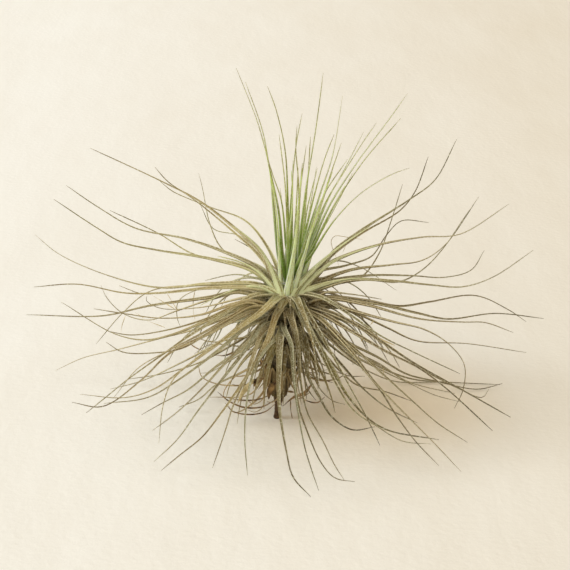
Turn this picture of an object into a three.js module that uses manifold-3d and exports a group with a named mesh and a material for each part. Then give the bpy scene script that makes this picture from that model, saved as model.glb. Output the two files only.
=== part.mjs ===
// An air plant: a rosette of long, fine, channelled leaves on a short woody stem that stands on its cut
// end. The youngest leaves stand up in the heart, older ones arch out, and the oldest droop and dry.
// Millimetres, +Z up. The origin is the middle of the stem's flat lower end, and -Y is the front.
import * as THREE from 'three';
import { mergeVertices } from 'three/addons/utils/BufferGeometryUtils.js';
import Module from 'manifold-3d';

const wasm = await Module();
wasm.setup();

// ---- driving dimensions ---------------------------------------------------------------------------

const GAP = 0.3;                    // clear space between one body and the next
const SIDES = 10;                   // sides of the stem and of the rings that the leaves grow from

const STEM_TOP = 54.5;              // height at which the stem ends, under the heart
const STEM_LEAN = 0.09;             // sideways lean of the stem, per millimetre of height
const CORE_RADIUS = 3;              // the stem inside its leaves
const STEM_OUTLINE = [[0, 0], [1.5, 0], [1.3, 2.5], [1.6, 7], [CORE_RADIUS, 12], [CORE_RADIUS, STEM_TOP],
  [0, STEM_TOP]];                   // radius and height, from the flat foot upward

const LEAF_TIP = 0.5;               // width of a real leaf's tip
const THINNEST = 0.9;               // least width of a solid leaf, so that its tip is still 0.6 mm thick
const TAPER = 1.8;                  // how quickly a leaf narrows above its base
const KEEL = 0.45;                  // depth of a leaf's keel, as a part of its width
const KEEL_LEAST = 0.68;            // least depth of a solid leaf's keel
const STATION_STEP = 11;            // distance between the sections of a leaf, or more in the heart
const HEART_STEP = 13;
const SUNK = 1;                     // how deep a leaf's root lies in the ring it grows from
const REST = 1;                     // height of a leaf's line where it lies on the surface
const RIM_OUT = 1;                  // a leaf clasps the stem until it is this far outside its ring and
const RIM_UP = 1.5;                 // above it, and turns outward there

const SHORTEST = 0.84;              // least and greatest length of a leaf set by rule, as parts of its
const LONGEST = 1.14;               // group's length
const LIFT = 6;                     // most degrees that such a leaf starts above or below its group
const LINE_PACES = 6;               // straight paces that the line of such a leaf is drawn with

// The leaves that show from the front are given as they are seen from there, 22 degrees above level
// and 700 mm away: millimetres across and up, on the plane square to the sight line through SIGHT.
const SIGHT = new THREE.Vector3(3.4, 0, 59);
const SIGHT_UP = 51.2;              // what "up" reads at SIGHT
const EYE_DISTANCE = 700;
const EYE_TILT = THREE.MathUtils.degToRad(22);
const CROWN_SEEN = new THREE.Vector2(1, 48);  // across and up of the middle that the leaves spread from
const EARLY_DEPTH = 1.8;            // above 1, a leaf gains more of its depth near the crown

// ---- the rings of leaves, from the youngest to the oldest -----------------------------------------
// from, to: the ring's lower and upper height.  radius: its lower and upper outside radius.
// seen: one leaf a row, as how far behind the crown its tip is (less than 0 is nearer the front), its
// width at the base, then its points across and up from root to tip.
// hidden: leaves set by rule, as their count, first and last direction in degrees (90 is the back),
// launch and fall angle in degrees above level, length, width at the base, and greatest sideways curl
// in degrees.

const TIERS = [
  {
    name: 'heart_leaves', colour: 0x93a85f, from: STEM_TOP + GAP, to: 62, radius: [3.8, 2.2],
    seen: [
      [10, 3.2, -2.2, 62, -4.3, 80, -6.2, 98, -10.5, 115, -14, 124.5, -19.5, 138],
      [-15, 3.0, -1, 62, -2.5, 80.5, -6.3, 99, -9, 113, -15.8, 132.5],
      [30, 2.6, 0.3, 68, -1.5, 85, -5, 95.5, -9.8, 112],
      [8, 3.0, 0.9, 68, 1, 86, 0, 105, -3.5, 121, -7, 130.7],
      [-28, 2.8, 1.1, 70, 0, 92, -2.4, 111.4],
      [24, 2.8, 1.8, 72, 3, 93, 4.6, 108, 6.9, 120],
      [45, 2.6, 4.5, 68, 5.5, 90, 4.3, 106, 4.8, 115],
      [55, 2.6, 5.2, 70, 6.3, 90, 8.5, 107],
      [0, 3.2, 5.5, 66, 8.2, 89, 12.2, 113, 15.3, 136],
      [38, 2.6, 7, 72, 9, 92, 10.2, 110.5],
      [58, 2.4, 7.5, 70, 11, 88, 12.6, 98.5],
      [20, 2.8, 7.5, 70, 12, 88, 16, 102, 19.7, 111.5],
      [6, 3.2, 8, 68, 14, 87.5, 19, 103, 23, 127],
      [48, 2.6, 9, 68, 16, 89, 22.5, 108],
      [62, 2.4, 9.5, 67, 15.5, 86, 20, 100.5],
      [12, 3.0, 9, 66, 16.5, 84.5, 24, 97, 31, 108, 36.5, 116],
      [30, 2.8, 9.5, 66, 17, 85, 24, 98, 31.4, 112.5],
      [0, 3.2, 10, 66, 18, 83.5, 29, 100.5, 42, 118, 49, 127.8],
      [-14, 3.0, 11, 66, 20.5, 84.5, 32, 101.5, 46.3, 117.9],
      [-26, 2.8, 11, 64, 20, 77.5, 31, 88.5, 43, 95.6, 49.8, 98],
      [-20, 4.0, 2.8, 62, 4.2, 72, 5.8, 87, 7, 100],
      [-30, 4.0, 6.8, 63, 9.6, 71.5, 16, 88, 25, 101.5],
      [2, 2.8, 5.5, 66, 7.5, 80, 9.5, 96],
      [14, 2.6, 6.5, 66, 9, 82, 13, 98],
      [-8, 2.8, 3.5, 66, 4.5, 82, 5.3, 98],
      [6, 2.6, 2.5, 66, 3, 85, 3.2, 101],
      [60, 2.6, 1, 64, -0.5, 78, -2, 90],
      [50, 2.6, 12, 68, 21, 84, 27, 96],
    ],
    hidden: [],
  },
  {
    name: 'crown_leaves', colour: 0x9aa37a, from: 50.3, to: 54.5, radius: [5.6, 4.6],
    seen: [
      [5, 4.2, -9, 63.7, -20, 74, -34, 84.7, -50, 93, -78, 106],
      [40, 3.6, -10, 62.5, -23, 74.5, -37, 85.8, -47, 92.7, -52, 98.3],
      [55, 3.2, -7.5, 67, -16, 77, -30, 82.4, -45, 88.7, -50, 92.7],
      [50, 3.2, -10, 58.5, -25, 65.5, -30, 75.5, -33, 90, -34.5, 96],
      [66, 3.0, -8, 60.5, -18, 70.8, -29, 74, -33.7, 83],
      [15, 3.8, -10, 57.5, -25, 64.8, -40, 69.8, -60, 74, -75, 82.5, -87.5, 91],
      [-3, 3.8, -12, 56.5, -30, 61.8, -50, 65, -65, 68.2, -75, 73.9, -92.5, 85.5],
      [45, 3.2, -10, 55.5, -20, 60, -37, 63.7, -51, 72, -70, 81],
      [-10, 3.8, -12, 51.5, -30, 51.8, -50, 50.2, -70, 54.8, -90, 63.4, -100, 71.3],
      [-24, 3.8, -12, 50, -30, 50, -50, 48, -64, 48, -83, 51.5, -100.5, 50.4],
      [78, 2.6, -6, 59.7, -14, 66.2, -20, 69.5],
      [30, 3.0, -10, 53.5, -20, 55.4, -32, 53],
      [10, 4.0, 10, 55.5, 20, 65.3, 30, 72.8, 50, 85.5, 60, 93.2, 68.7, 109.5],
      [30, 3.6, 11, 56, 21, 65, 31, 72, 46, 81, 52, 88.5, 57.3, 102.5],
      [60, 3.2, 15, 52.5, 30, 54, 37.5, 63.5, 43.3, 79.5, 47, 91.5],
      [52, 3.2, 13, 56.5, 25, 59.2, 35, 63, 40.5, 71, 46.5, 76.8, 57.5, 76.2],
      [4, 3.8, 12, 57, 24, 63, 38, 67.5, 55, 70.4, 70, 71.6, 89.5, 83.5],
      [34, 3.6, 14, 53, 27, 57.5, 43, 59.4, 55, 61.2, 64, 67.3, 77.5, 86.5],
      [48, 3.4, 15, 51, 32, 53.4, 46, 52.6, 55, 57.3, 63, 65.5, 74, 81.5],
      [22, 3.4, 16, 52.5, 32, 55, 50, 55, 64, 54.3, 74.5, 57.2, 79.7, 65],
      [-8, 4.0, 12, 49.5, 26, 53.3, 42, 53, 58, 51.3, 71, 50.5, 83, 54.3, 99.5, 65.2],
      [8, 2.4, 12, 57.5, 20, 60.9, 30, 58.4, 44.7, 49],
      [-47, 4.6, 6.5, 42.5, 11.5, 32.5, 17.5, 20.5, 24, 8.5, 32.5, -1.5, 41, -6.8, 61.5, -10.7],
      [-55, 4.6, 4.5, 45.5, 8, 37.8, 11, 28, 12.5, 18.5, 13.8, 10],
      [-62, 4.8, -7, 43.5, -22, 31, -36, 21.3, -45, 13, -48.8, 3, -50.5, -12],
      [-45, 4.6, -10, 45.5, -20, 41, -35, 33, -48, 24, -63, 13.3, -72, 6, -79.5, 0],
      [-50, 4.4, 8, 38, 14.5, 24, 20.5, 11.5, 27.5, 1, 37, -5.5, 47, -11.5, 58.3, -12.8],
      [-45, 3.8, 14, 46.5, 26, 39.3, 38, 31, 50, 25, 60, 20.3, 70, 15.7],
      [-50, 4.0, 11, 37, 19, 23, 26.5, 9.5, 32.5, -1.5, 38, -13],
    ],
    hidden: [[6, 58, 122, -6, -50, 104, 3.8, 12]],
  },
  {
    name: 'shoulder_leaves', colour: 0x8f8a5e, from: 44.8, to: 50, radius: [6.4, 5.8],
    seen: [
      [28, 3.6, -14, 49, -30, 45.5, -44, 40.7, -55, 37.2, -65, 40, -71.5, 46.5, -73.5, 51],
      [-40, 3.8, -14, 45.5, -34, 39.3, -50, 38, -63, 39.6, -76.5, 41.7],
      [-8, 3.8, -14, 49.3, -30, 46.4, -54, 43, -73, 38.9, -103.5, 39.3],
      [-35, 3.8, -14, 43.5, -30, 37.5, -45, 31.5, -56, 29.3, -68, 31.7, -89.5, 44.4],
      [-50, 3.6, -15, 44.5, -32, 37.5, -48, 33, -62, 31.2, -71, 32.8],
      [36, 3.6, -15, 50.5, -38, 51, -54, 48.8, -65, 40, -75.5, 27.7],
      [44, 3.2, -15, 51, -30, 50.5, -45, 48.8, -57, 47.7, -66.5, 51],
      [18, 3.4, -14, 46.5, -34, 42.3, -50, 42, -55.4, 45, -55.2, 46.9],
      [50, 3.0, -20, 50, -36, 49, -42.7, 44.5, -43, 37.5, -42, 35],
      [34, 3.6, -14, 42, -33, 34.5, -50, 29.9, -67, 25.4, -81, 22, -91.8, 17],
      [-42, 3.6, -14, 42.5, -30, 32.5, -41, 26, -53, 24, -65, 24.4, -71.5, 28.3],
      [-60, 3.8, -14, 42, -34, 31.5, -48, 24.3, -59, 17.8, -68.5, 6.2],
      [-20, 3.8, -14, 40.5, -33, 30.5, -46, 24, -58, 12.7, -73, 2.6, -85.3, 4.3],
      [-52, 3.8, -10, 40.5, -26, 28.3, -40, 18.2, -52, 9.8, -64, 6.2, -82, 7.5],
      [-15, 3.8, 14, 48.2, 26, 47.6, 38.7, 45.5],
      [36, 3.6, 16, 46.7, 33, 45, 46, 42.8, 58, 44.5, 76, 47, 89, 41.5, 96.5, 36.5],
      [-4, 3.8, 17, 46, 34, 44.4, 53, 40, 65, 37.6, 84, 39.8, 103.5, 37.8],
      [-24, 3.8, 16, 46, 32, 43.5, 54, 37.7, 71, 36.4, 80, 36.2, 91.3, 32.2],
      [-32, 3.8, 13, 47, 25, 41.8, 43, 36.7, 56, 33.4, 65.5, 27.7, 71.7, 19.5, 71.3, 9.5, 67.7, 1.8],
      [38, 3.6, 14, 44.7, 28, 40.3, 41, 34.2, 53, 28.9, 73, 27.8, 96.5, 24.2],
      [-40, 3.8, 13, 42.5, 27, 36, 39, 28.3, 51, 20.3, 70, 9.7, 90.2, -1.7],
      [-47, 3.8, 13, 40.5, 27, 32.5, 41, 24.3, 53, 18.3, 64, 10.2, 83, -7.1],
      [-20, 3.4, 13, 41, 34, 28.3, 53, 18.3, 70, 9.5, 79, 6.2, 81.5, 9.5],
      [-58, 3.8, 15, 36.5, 27, 24, 36, 12.3, 50, -2.3, 60, -12.3, 70.5, -23.5],
      [-44, 3.8, 15, 36, 27, 26.5, 39, 15.7, 51, 4.8, 61, -4, 73, -11.8],
      [-68, 3.6, 5, 27, 6.3, 12, 9, 0, 15.2, -11.2, 19.7, -20.5, 24, -27.3],
      [-70, 4.2, 2.2, 38, 3, 30, 3.7, 16, 5.4, 3, 8.5, -6.5, 14.5, -20, 20, -26, 28, -27.5],
      [-60, 4.4, -1.5, 41, -5, 34, -11, 22, -18, 10.5, -25.5, 0, -33, -9.5, -42.5, -17.2, -49.5, -23],
    ],
    hidden: [[10, 58, 122, -8, -62, 98, 3.8, 16], [3, 24, 52, -28, -78, 50, 3.8, 16],
      [3, 128, 156, -28, -78, 50, 3.8, 16]],
  },
  {
    name: 'skirt_leaves', colour: 0x7c7250, from: 35.8, to: 44.5, radius: [6.6, 6.4],
    seen: [
      [-47, 3.8, -8, 37, -16, 25, -26, 12.3, -35, 0.6, -43, -10.5, -52.5, -19.5],
      [-56, 3.8, -9, 28, -15, 15.5, -20.7, 3, -24, -7.5, -29, -22],
      [-62, 3.6, -5, 30, -12, 18, -15.2, 5, -16.1, -9, -15, -25],
      [-6, 3.8, -12, 29, -27, 19, -39, 9.2, -49, 4, -57.5, -0.8],
      [-84, 5.4, -1.9, 31, -2.4, 17, -2.5, 7, -1.9, -1, -0.8, -8, 0.5, -15, 3.2, -25.5, 10.3, -33.5],
      [-82, 3.9, 0.9, 33, 2.6, 27, 3.2, 16, 4.4, 6, 6.0, -4, 8.0, -14, 10.4, -22, 13.5, -31],
      [-34, 3.4, 6, 33, 6.8, 20, 9.5, 9, 12.5, 5],
      [26, 3.8, 13, 38.5, 25, 29, 37, 22.5, 49, 15.5, 61, 12.6, 77, 9.5, 87, 11.8],
      [38, 3.6, 13, 36, 26, 26.5, 39, 18, 51, 13.6, 64, 12.3, 86, 11.3],
      [-12, 3.8, 14, 34.5, 26, 25.5, 38, 19.5, 49, 12.7, 68, 7.8],
      [2, 3.6, 14, 33, 26, 24, 38, 17.5, 50, 11.8, 60, 7.2, 70, 4.5],
      [34, 3.4, 12, 33, 23, 23.5, 34, 16.5, 46, 12.2, 62, 12.2],
      [-51, 4.0, 12, 35.5, 22, 26, 31, 18, 38.5, 8.5, 44.5, -1, 51, -9.5, 61.5, -21],
      [-34, 4.0, 8.5, 27, 9, 15.5, 13.5, 6.8, 19, -1.8, 27, -6.7, 36, -5.5],
      [-36, 3.8, -12, 36.5, -28, 24, -43, 13, -55, 6.2, -72.5, 3.8],
      [16, 3.6, -13, 37, -28, 27.5, -43, 19.5, -57, 13, -70, 9.5],
      [30, 3.6, -12, 33, -24, 25.5, -36, 19.5, -50, 15.5, -63, 13.5],
      [-24, 3.6, -12, 32, -23, 21, -33, 10, -43, 0.5, -53, -7],
      [-28, 3.6, 12, 31, 22, 20, 31, 10, 41, 2, 53, -4],
    ],
    hidden: [[9, 52, 128, -6, -62, 90, 3.8, 16], [4, 16, 48, -6, -66, 56, 3.8, 16],
      [4, 132, 164, -6, -66, 56, 3.8, 16]],
  },
  {
    name: 'under_leaves', colour: 0x6a5f42, from: 24.3, to: 35.5, radius: [6.0, 6.6],
    seen: [
      [-10, 3.4, -5, 24, -7.5, 14, -10.8, 9.3],
      [5, 3.2, -13, 27, -22, 21, -30, 16.4, -34.3, 15.9],
      [20, 2.8, -15, 27.5, -30, 27.6, -36.5, 23.5],
      [10, 3.0, -14, 31, -21, 30, -29, 28.8, -37, 30.8],
      [5, 3.2, 13, 27, 22, 17, 29, 11.2, 40, 8.6, 50.5, 4.8],
      [16, 2.8, 12, 22, 25, 15, 32, 14.7],
      [3, 2.8, 9, 24, 13.5, 10.5, 19, 5, 24, 3.4],
      [-6, 3.4, -8, 24, -15, 13.5, -18.2, 2, -19.2, -4.5],
      [5, 3.0, -12, 20, -28, 11, -34.5, 5.5, -42.5, 2.3],
    ],
    hidden: [[12, 15, 375, -50, -88, 26, 4.2, 16], [9, 20, 380, -30, -76, 31, 3.8, 30]],
  },
  {
    name: 'dry_leaves', colour: 0xa07c52, from: 10.5, to: 23.6, radius: [4.2, 5.0],
    seen: [
      [10, 2.4, -11, 13, -24, 11.2, -33, 14.3, -34.8, 20],
      [-6, 2.4, -12, 19, -20, 14.7, -24.6, 8, -24, 5.5],
      [-6, 2.6, -6, 12.5, -13, 3.7, -20, 0.1, -23, 3.2],
      [16, 2.2, -14, 7.5, -30.5, 6.3],
      [-2, 2.0, -7, 3, -11, 0.6, -15, 1.3],
      [3, 2.0, -8, 5.5, -12, 3.5, -15.3, 5.2],
      [4, 2.2, 10, 16, 17, 17.3],
      [7, 2.2, 11, 15, 19.5, 12],
      [-2, 2.6, 4, 6, 10.5, 8.5],
    ],
    hidden: [[5, 20, 380, -62, 34, 24, 2.4, 60], [4, 60, 420, -38, -10, 18, 2.6, 60]],
  },
];

// ---- sizes worked out from them -------------------------------------------------------------------

const eye = SIGHT.clone().add(
  new THREE.Vector3(0, -Math.cos(EYE_TILT), Math.sin(EYE_TILT)).multiplyScalar(EYE_DISTANCE));

const stemAxis = (height) => new THREE.Vector3(STEM_LEAN * height, 0, height);

// A number from 0 to 1 for member i of a group, spread evenly whatever the count. Each pace is a
// different irrational number, so that the height, length and curl of neighbours do not go together.
const PACES = [0.6180340, 0.7548777, 0.5698403, 0.8191725];
const spread = (i, pace) => (0.5 + i * PACES[pace]) % 1;
const eitherWay = (i, pace) => 2 * spread(i, pace) - 1;

// The point of space, a given depth behind the crown, that is seen at a place across and up. A point
// that would lie below the surface is drawn along the sight line until it rests on it.
function pointSeenAt(across, up, depth) {
  const onPlane = new THREE.Vector3(across, (up - SIGHT_UP) * Math.sin(EYE_TILT),
    (up - SIGHT_UP) * Math.cos(EYE_TILT)).add(SIGHT);
  const sight = onPlane.clone().sub(eye);
  const point = eye.clone().addScaledVector(sight, (depth - eye.y) / sight.y);
  if (point.z < REST) {
    point.copy(eye).addScaledVector(sight, (REST - eye.z) / sight.z);
  }
  return point;
}

// A root's place: on its ring, sunk a little into it, in a direction and at a share of its height.
function rootAt(tier, direction, share) {
  const height = THREE.MathUtils.lerp(tier.from + 1, tier.to - 1.5, share);
  const rise = (height - tier.from) / (tier.to - tier.from);
  const radius = THREE.MathUtils.lerp(tier.radius[0], tier.radius[1], rise) - SUNK;
  return stemAxis(height).add(
    new THREE.Vector3(Math.cos(direction), Math.sin(direction), 0).multiplyScalar(radius));
}

// The place above a root where the leaf turns outward, over its ring's rim.
function rimAt(tier, direction) {
  return stemAxis(tier.to + RIM_UP).add(new THREE.Vector3(Math.cos(direction), Math.sin(direction), 0)
    .multiplyScalar(tier.radius[1] + RIM_OUT));
}

const leafWidth = (base, t) => LEAF_TIP + (base - LEAF_TIP) * (1 - t) ** TAPER;

// ---- a leaf's line --------------------------------------------------------------------------------

// Stations at even steps on a smooth curve through a leaf's points, with the direction of its root.
function leafAlong(tier, points, base, direction) {
  const curve = new THREE.CatmullRomCurve3(points, false, 'centripetal');
  const step = tier.from > STEM_TOP ? HEART_STEP : STATION_STEP;
  const steps = Math.max(4, Math.round(curve.getLength() / step));
  const line = curve.getSpacedPoints(steps);
  const widths = line.map((_, k) => Math.max(THINNEST, leafWidth(base, k / steps)));
  return { line, widths, direction };
}

// A leaf given as it is seen: most of its depth is gained near the crown, as it arches out and falls.
function seenLeaf(tier, row, i) {
  const [tipDepth, base, ...places] = row;
  const seen = [];
  for (let k = 0; k < places.length; k += 2) {
    seen.push(new THREE.Vector2(places[k], places[k + 1]));
  }
  const along = [seen[0].distanceTo(CROWN_SEEN)];
  for (let k = 1; k < seen.length; k += 1) {
    along.push(along[k - 1] + seen[k].distanceTo(seen[k - 1]));
  }
  const points = seen.map((place, k) => {
    const depth = tipDepth * (1 - (1 - along[k] / along.at(-1)) ** EARLY_DEPTH);
    return pointSeenAt(place.x, place.y, depth);
  });
  const direction = Math.atan2(points[0].y, points[0].x - STEM_LEAN * points[0].z);
  points.unshift(rootAt(tier, direction, spread(i, 0)), rimAt(tier, direction));
  return leafAlong(tier, points, base, direction);
}

// A leaf set by rule: it leaves its root at the launch angle and bends evenly to the fall angle, in a
// plane that turns a little with the curl, and it lies along the surface where it reaches it.
function hiddenLeaf(tier, group, i) {
  const [count, first, last, launch, fall, length, base, curl] = group;
  const rad = THREE.MathUtils.degToRad;
  const direction = rad(first + (last - first) * (i + 0.5) / count);
  const full = length * THREE.MathUtils.lerp(SHORTEST, LONGEST, spread(i, 1));
  const turn = rad(curl * eitherWay(i, 2));
  const start = rad(launch + LIFT * eitherWay(i, 3));
  const points = [rootAt(tier, direction, spread(i, 0)), rimAt(tier, direction)];
  for (let k = 0; k < LINE_PACES; k += 1) {
    const t = (k + 0.5) / LINE_PACES;
    const climb = THREE.MathUtils.lerp(start, rad(fall), t);
    const heading = direction + turn * t;
    const pace = new THREE.Vector3(Math.cos(heading) * Math.cos(climb),
      Math.sin(heading) * Math.cos(climb), Math.sin(climb)).multiplyScalar(full / LINE_PACES);
    const next = points.at(-1).clone().add(pace);
    next.z = Math.max(REST, next.z);
    points.push(next);
  }
  return leafAlong(tier, points, base, direction);
}

// ---- bending leaves clear -------------------------------------------------------------------------

const KEEP_OFF = 7;                 // no leaf comes nearer the stem's axis than this below the heart
const ROUNDS = 30;
const PUSH_MORE = 0.05;             // how much more than its half of the way a leaf gives
const STIFFNESS = 1.5;              // above 1, a push moves more of the leaf than the place it falls on

// How far along each of two straight stretches, from 0 to 1, they come nearest each other.
function nearest(p, q, r, s) {
  const u = q.clone().sub(p);
  const v = s.clone().sub(r);
  const w = p.clone().sub(r);
  const uu = u.dot(u);
  const vv = v.dot(v);
  const uv = u.dot(v);
  const uw = u.dot(w);
  const vw = v.dot(w);
  const clamp = (x) => Math.min(1, Math.max(0, x));
  const first = clamp((uv * vw - vv * uw) / Math.max(1e-9, uu * vv - uv * uv));
  const second = clamp((uv * first + vw) / vv);
  return [clamp((uv * second - uw) / uu), second];
}

// Leaves of different rings that come too near each other each give way by half, round after round.
// Roots stay, no leaf goes below the surface, and none comes into the rings or the stem.
function bendClear(leaves) {
  for (let round = 0; round < ROUNDS; round += 1) {
    const stretches = leaves.flatMap((leaf) => leaf.line.slice(1).map((end, k) => {
      const box = new THREE.Box3().setFromPoints([leaf.line[k], end]);
      return { leaf, k, end, start: leaf.line[k], box: box.expandByScalar((leaf.widths[k] + GAP) / 2) };
    }));
    const pushes = leaves.map((leaf) => leaf.line.map(() => ({ sum: new THREE.Vector3(), count: 0 })));
    for (const a of stretches) {
      for (const b of stretches) {
        if (a.leaf.tier <= b.leaf.tier || !a.box.intersectsBox(b.box)) {
          continue;
        }
        const [s, t] = nearest(a.start, a.end, b.start, b.end);
        const apart = a.start.clone().lerp(a.end, s).sub(b.start.clone().lerp(b.end, t));
        const need = (a.leaf.widths[a.k] + b.leaf.widths[b.k]) / 2 + GAP;
        const short = need - apart.length();
        if (short <= 0) {
          continue;
        }
        apart.setLength(short / 2 + PUSH_MORE);
        for (const [leaf, k, share, sign] of [[a.leaf, a.k, s, 1], [b.leaf, b.k, t, -1]]) {
          for (const [station, weight] of [[k, 1 - share], [k + 1, share]]) {
            const push = pushes[leaf.number][station];
            push.sum.addScaledVector(apart, sign * Math.min(1, weight * STIFFNESS));
            push.count += 1;
          }
        }
      }
    }
    for (const leaf of leaves) {
      leaf.line.forEach((point, k) => {
        if (k === 0) {
          return;
        }
        const { sum, count } = pushes[leaf.number][k];
        point.addScaledVector(sum, 1 / Math.sqrt(Math.max(1, count)));
        const out = point.clone().sub(stemAxis(point.z)).setZ(0);
        const least = KEEP_OFF + leaf.widths[k] / 2;
        if (point.z < STEM_TOP && out.length() < least) {
          point.add(out.setLength(least - out.length()));
        }
        point.z = Math.max(REST, point.z);
      });
    }
  }
}

// ---- solids ---------------------------------------------------------------------------------------

function toSolid(positions, triangles) {
  return new wasm.Manifold(new wasm.Mesh({
    numProp: 3, vertProperties: new Float32Array(positions), triVerts: new Uint32Array(triangles),
  }));
}

// A shape turned about the stem's axis, which leans: radius and height points, first and last joined.
function turned(outline) {
  const geometry = new THREE.LatheGeometry(outline.map(([r, z]) => new THREE.Vector2(r, z)), SIDES);
  geometry.rotateX(Math.PI / 2);
  geometry.applyMatrix4(new THREE.Matrix4().makeShear(0, 0, 0, 0, STEM_LEAN, 0));
  geometry.deleteAttribute('normal');
  geometry.deleteAttribute('uv');
  const merged = mergeVertices(geometry);
  return toSolid(merged.attributes.position.array, merged.index.array);
}

function ringOf(tier) {
  const [lower, upper] = tier.radius;
  if (tier.from > STEM_TOP) {
    return turned([[0, tier.from], [lower, tier.from], [upper, tier.to], [0, tier.to]]);
  }
  const inner = CORE_RADIUS + GAP;
  return turned([[inner, tier.from], [lower, tier.from], [upper, tier.to], [inner, tier.to],
    [inner, tier.from]]);
}

// A leaf's blade: at each station a triangle, flat or hollowed side up and keel down, narrowing to the
// tip. The flat side faces the heart at the root and keeps its side of the leaf from there on.
function blade({ line, widths, direction }) {
  const positions = [];
  const side = new THREE.Vector3(Math.sin(direction), -Math.cos(direction), 0);
  line.forEach((point, k) => {
    const next = line[Math.min(k + 1, line.length - 1)];
    const ahead = next.clone().sub(line[Math.max(k - 1, 0)]).normalize();
    side.addScaledVector(ahead, -side.dot(ahead)).normalize();
    const face = side.clone().cross(ahead);
    const half = widths[k] / 2;
    const depth = Math.max(KEEL_LEAST, KEEL * widths[k]);
    for (const [across, off] of [[-half, depth / 3], [0, -2 * depth / 3], [half, depth / 3]]) {
      positions.push(...point.clone().addScaledVector(side, across).addScaledVector(face, off));
    }
  });
  const triangles = [0, 1, 2];
  for (let k = 0; k < line.length - 1; k += 1) {
    for (let corner = 0; corner < 3; corner += 1) {
      const here = 3 * k + corner;
      const beside = 3 * k + (corner + 1) % 3;
      triangles.push(here, here + 3, beside, beside, here + 3, beside + 3);
    }
  }
  const last = 3 * (line.length - 1);
  triangles.push(last, last + 2, last + 1);
  return toSolid(positions, triangles);
}

function meshOf(name, solid, colour) {
  const { vertProperties, triVerts } = solid.getMesh();
  const geometry = new THREE.BufferGeometry();
  geometry.setAttribute('position', new THREE.BufferAttribute(vertProperties, 3));
  geometry.setIndex(new THREE.BufferAttribute(triVerts, 1));
  const material = new THREE.MeshStandardMaterial({
    color: colour, roughness: 0.8, metalness: 0, flatShading: true,
  });
  const mesh = new THREE.Mesh(geometry, material);
  mesh.name = name;
  return mesh;
}

// Solids joined as one, with any small hollow that closes between crowded leaf bases filled.
function fused(solids) {
  const whole = solids.reduce((body, next) => body.add(next));
  return whole.decompose().find((body) => body.volume() > 0);
}

// ---- the plant ------------------------------------------------------------------------------------

const leaves = [];
TIERS.forEach((tier, place) => {
  const grown = tier.seen.map((row, i) => seenLeaf(tier, row, i));
  for (const group of tier.hidden) {
    for (let i = 0; i < group[0]; i += 1) {
      grown.push(hiddenLeaf(tier, group, i));
    }
  }
  for (const leaf of grown) {
    leaves.push({ ...leaf, tier: place, number: leaves.length });
  }
});
bendClear(leaves);

const plant = new THREE.Group();
plant.name = 'air_plant';
plant.add(meshOf('stem', turned(STEM_OUTLINE), 0x4a3826));
TIERS.forEach((tier, place) => {
  const blades = leaves.filter((leaf) => leaf.tier === place).map(blade);
  plant.add(meshOf(tier.name, fused([ringOf(tier), ...blades]), tier.colour));
});

export default plant;
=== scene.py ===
import math

import bpy
import numpy as np
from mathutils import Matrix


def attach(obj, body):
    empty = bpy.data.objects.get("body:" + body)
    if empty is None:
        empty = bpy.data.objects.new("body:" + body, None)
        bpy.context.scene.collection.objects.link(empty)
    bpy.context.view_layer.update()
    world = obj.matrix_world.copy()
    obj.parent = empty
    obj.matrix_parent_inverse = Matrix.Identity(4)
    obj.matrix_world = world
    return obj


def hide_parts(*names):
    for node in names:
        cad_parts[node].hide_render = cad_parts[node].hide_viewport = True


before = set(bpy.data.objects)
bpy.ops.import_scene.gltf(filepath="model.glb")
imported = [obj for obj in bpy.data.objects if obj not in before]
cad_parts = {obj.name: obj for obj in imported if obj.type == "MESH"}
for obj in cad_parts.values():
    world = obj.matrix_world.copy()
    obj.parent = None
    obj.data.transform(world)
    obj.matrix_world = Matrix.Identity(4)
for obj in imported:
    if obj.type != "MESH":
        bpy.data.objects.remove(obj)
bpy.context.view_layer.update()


# ---- Camera ----
# It stands 700 mm from the plant and 22 degrees above level, and sees 228 mm of the plane square to
# its sight line. Sizes in this script are millimetres, and become metres as a mesh is made.

MM = 0.001
SIGHT = np.array([3.4, 0.0, 59.0])  # the point it looks at
EYE_DISTANCE = 700.0
EYE_TILT = math.radians(22)
VIEW_WIDTH = 228.0
SENSOR = 36.0
EYE = SIGHT + EYE_DISTANCE * np.array([0, -math.cos(EYE_TILT), math.sin(EYE_TILT)])

camera = bpy.data.objects.new("camera", bpy.data.cameras.new("camera"))
camera.data.sensor_width = SENSOR
camera.data.lens = SENSOR * EYE_DISTANCE / VIEW_WIDTH
camera.location = EYE * MM
camera.rotation_euler = (math.pi / 2 - EYE_TILT, 0, 0)
bpy.context.collection.objects.link(camera)
bpy.context.scene.camera = camera
bpy.context.scene.view_settings.view_transform = "Standard"


# ---- Floor and light ----
# A sheet of pale plaster board under and behind the plant. Plaster is matt and mottled, with shallow
# dents and fine trowel marks. Its colour is painted darker toward the right, a painted falloff of the
# light. Under the plant it is painted paler and warmer, as painted bounce light in the plant's shadow.
# A lamp on the left throws one soft shadow to the right, a far wider one in front lightens the near
# side, and a warm room fills the rest.

FLOOR_SIZE = 6000.0
# The plaster's paler and darker colour: the mottling runs between them, as does the painted falloff of
# the light toward the right.
FLOOR_PALE, FLOOR_DEEP = "#F7FBFA", "#E0DBCD"
PAINTED_FALLOFF_FROM, PAINTED_FALLOFF_TO = -160.0, 190.0  # across, where the painted falloff of the light begins and ends
PAINTED_BOUNCE_LIGHT = "#FFF6E2"  # painted bounce light, paler and warmer under the plant
BOUNCE_MIDDLE, BOUNCE_REACH = (32.0, 18.0), 78.0  # where that is strongest, and how far it reaches
MOTTLE, MOTTLE_SHARE = 45.0, 0.35  # size of the mottling, and its share in the tone
DENT, DENT_DEEP = 16.0, 1.2  # size and depth of the shallow unevenness that the trowel left
TROWEL, TROWEL_DEEP = 3.0, 0.5  # size and depth of its fine marks
ROOM_LIGHT, ROOM_TINT = 0.36, "#FFE6C4"
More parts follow.
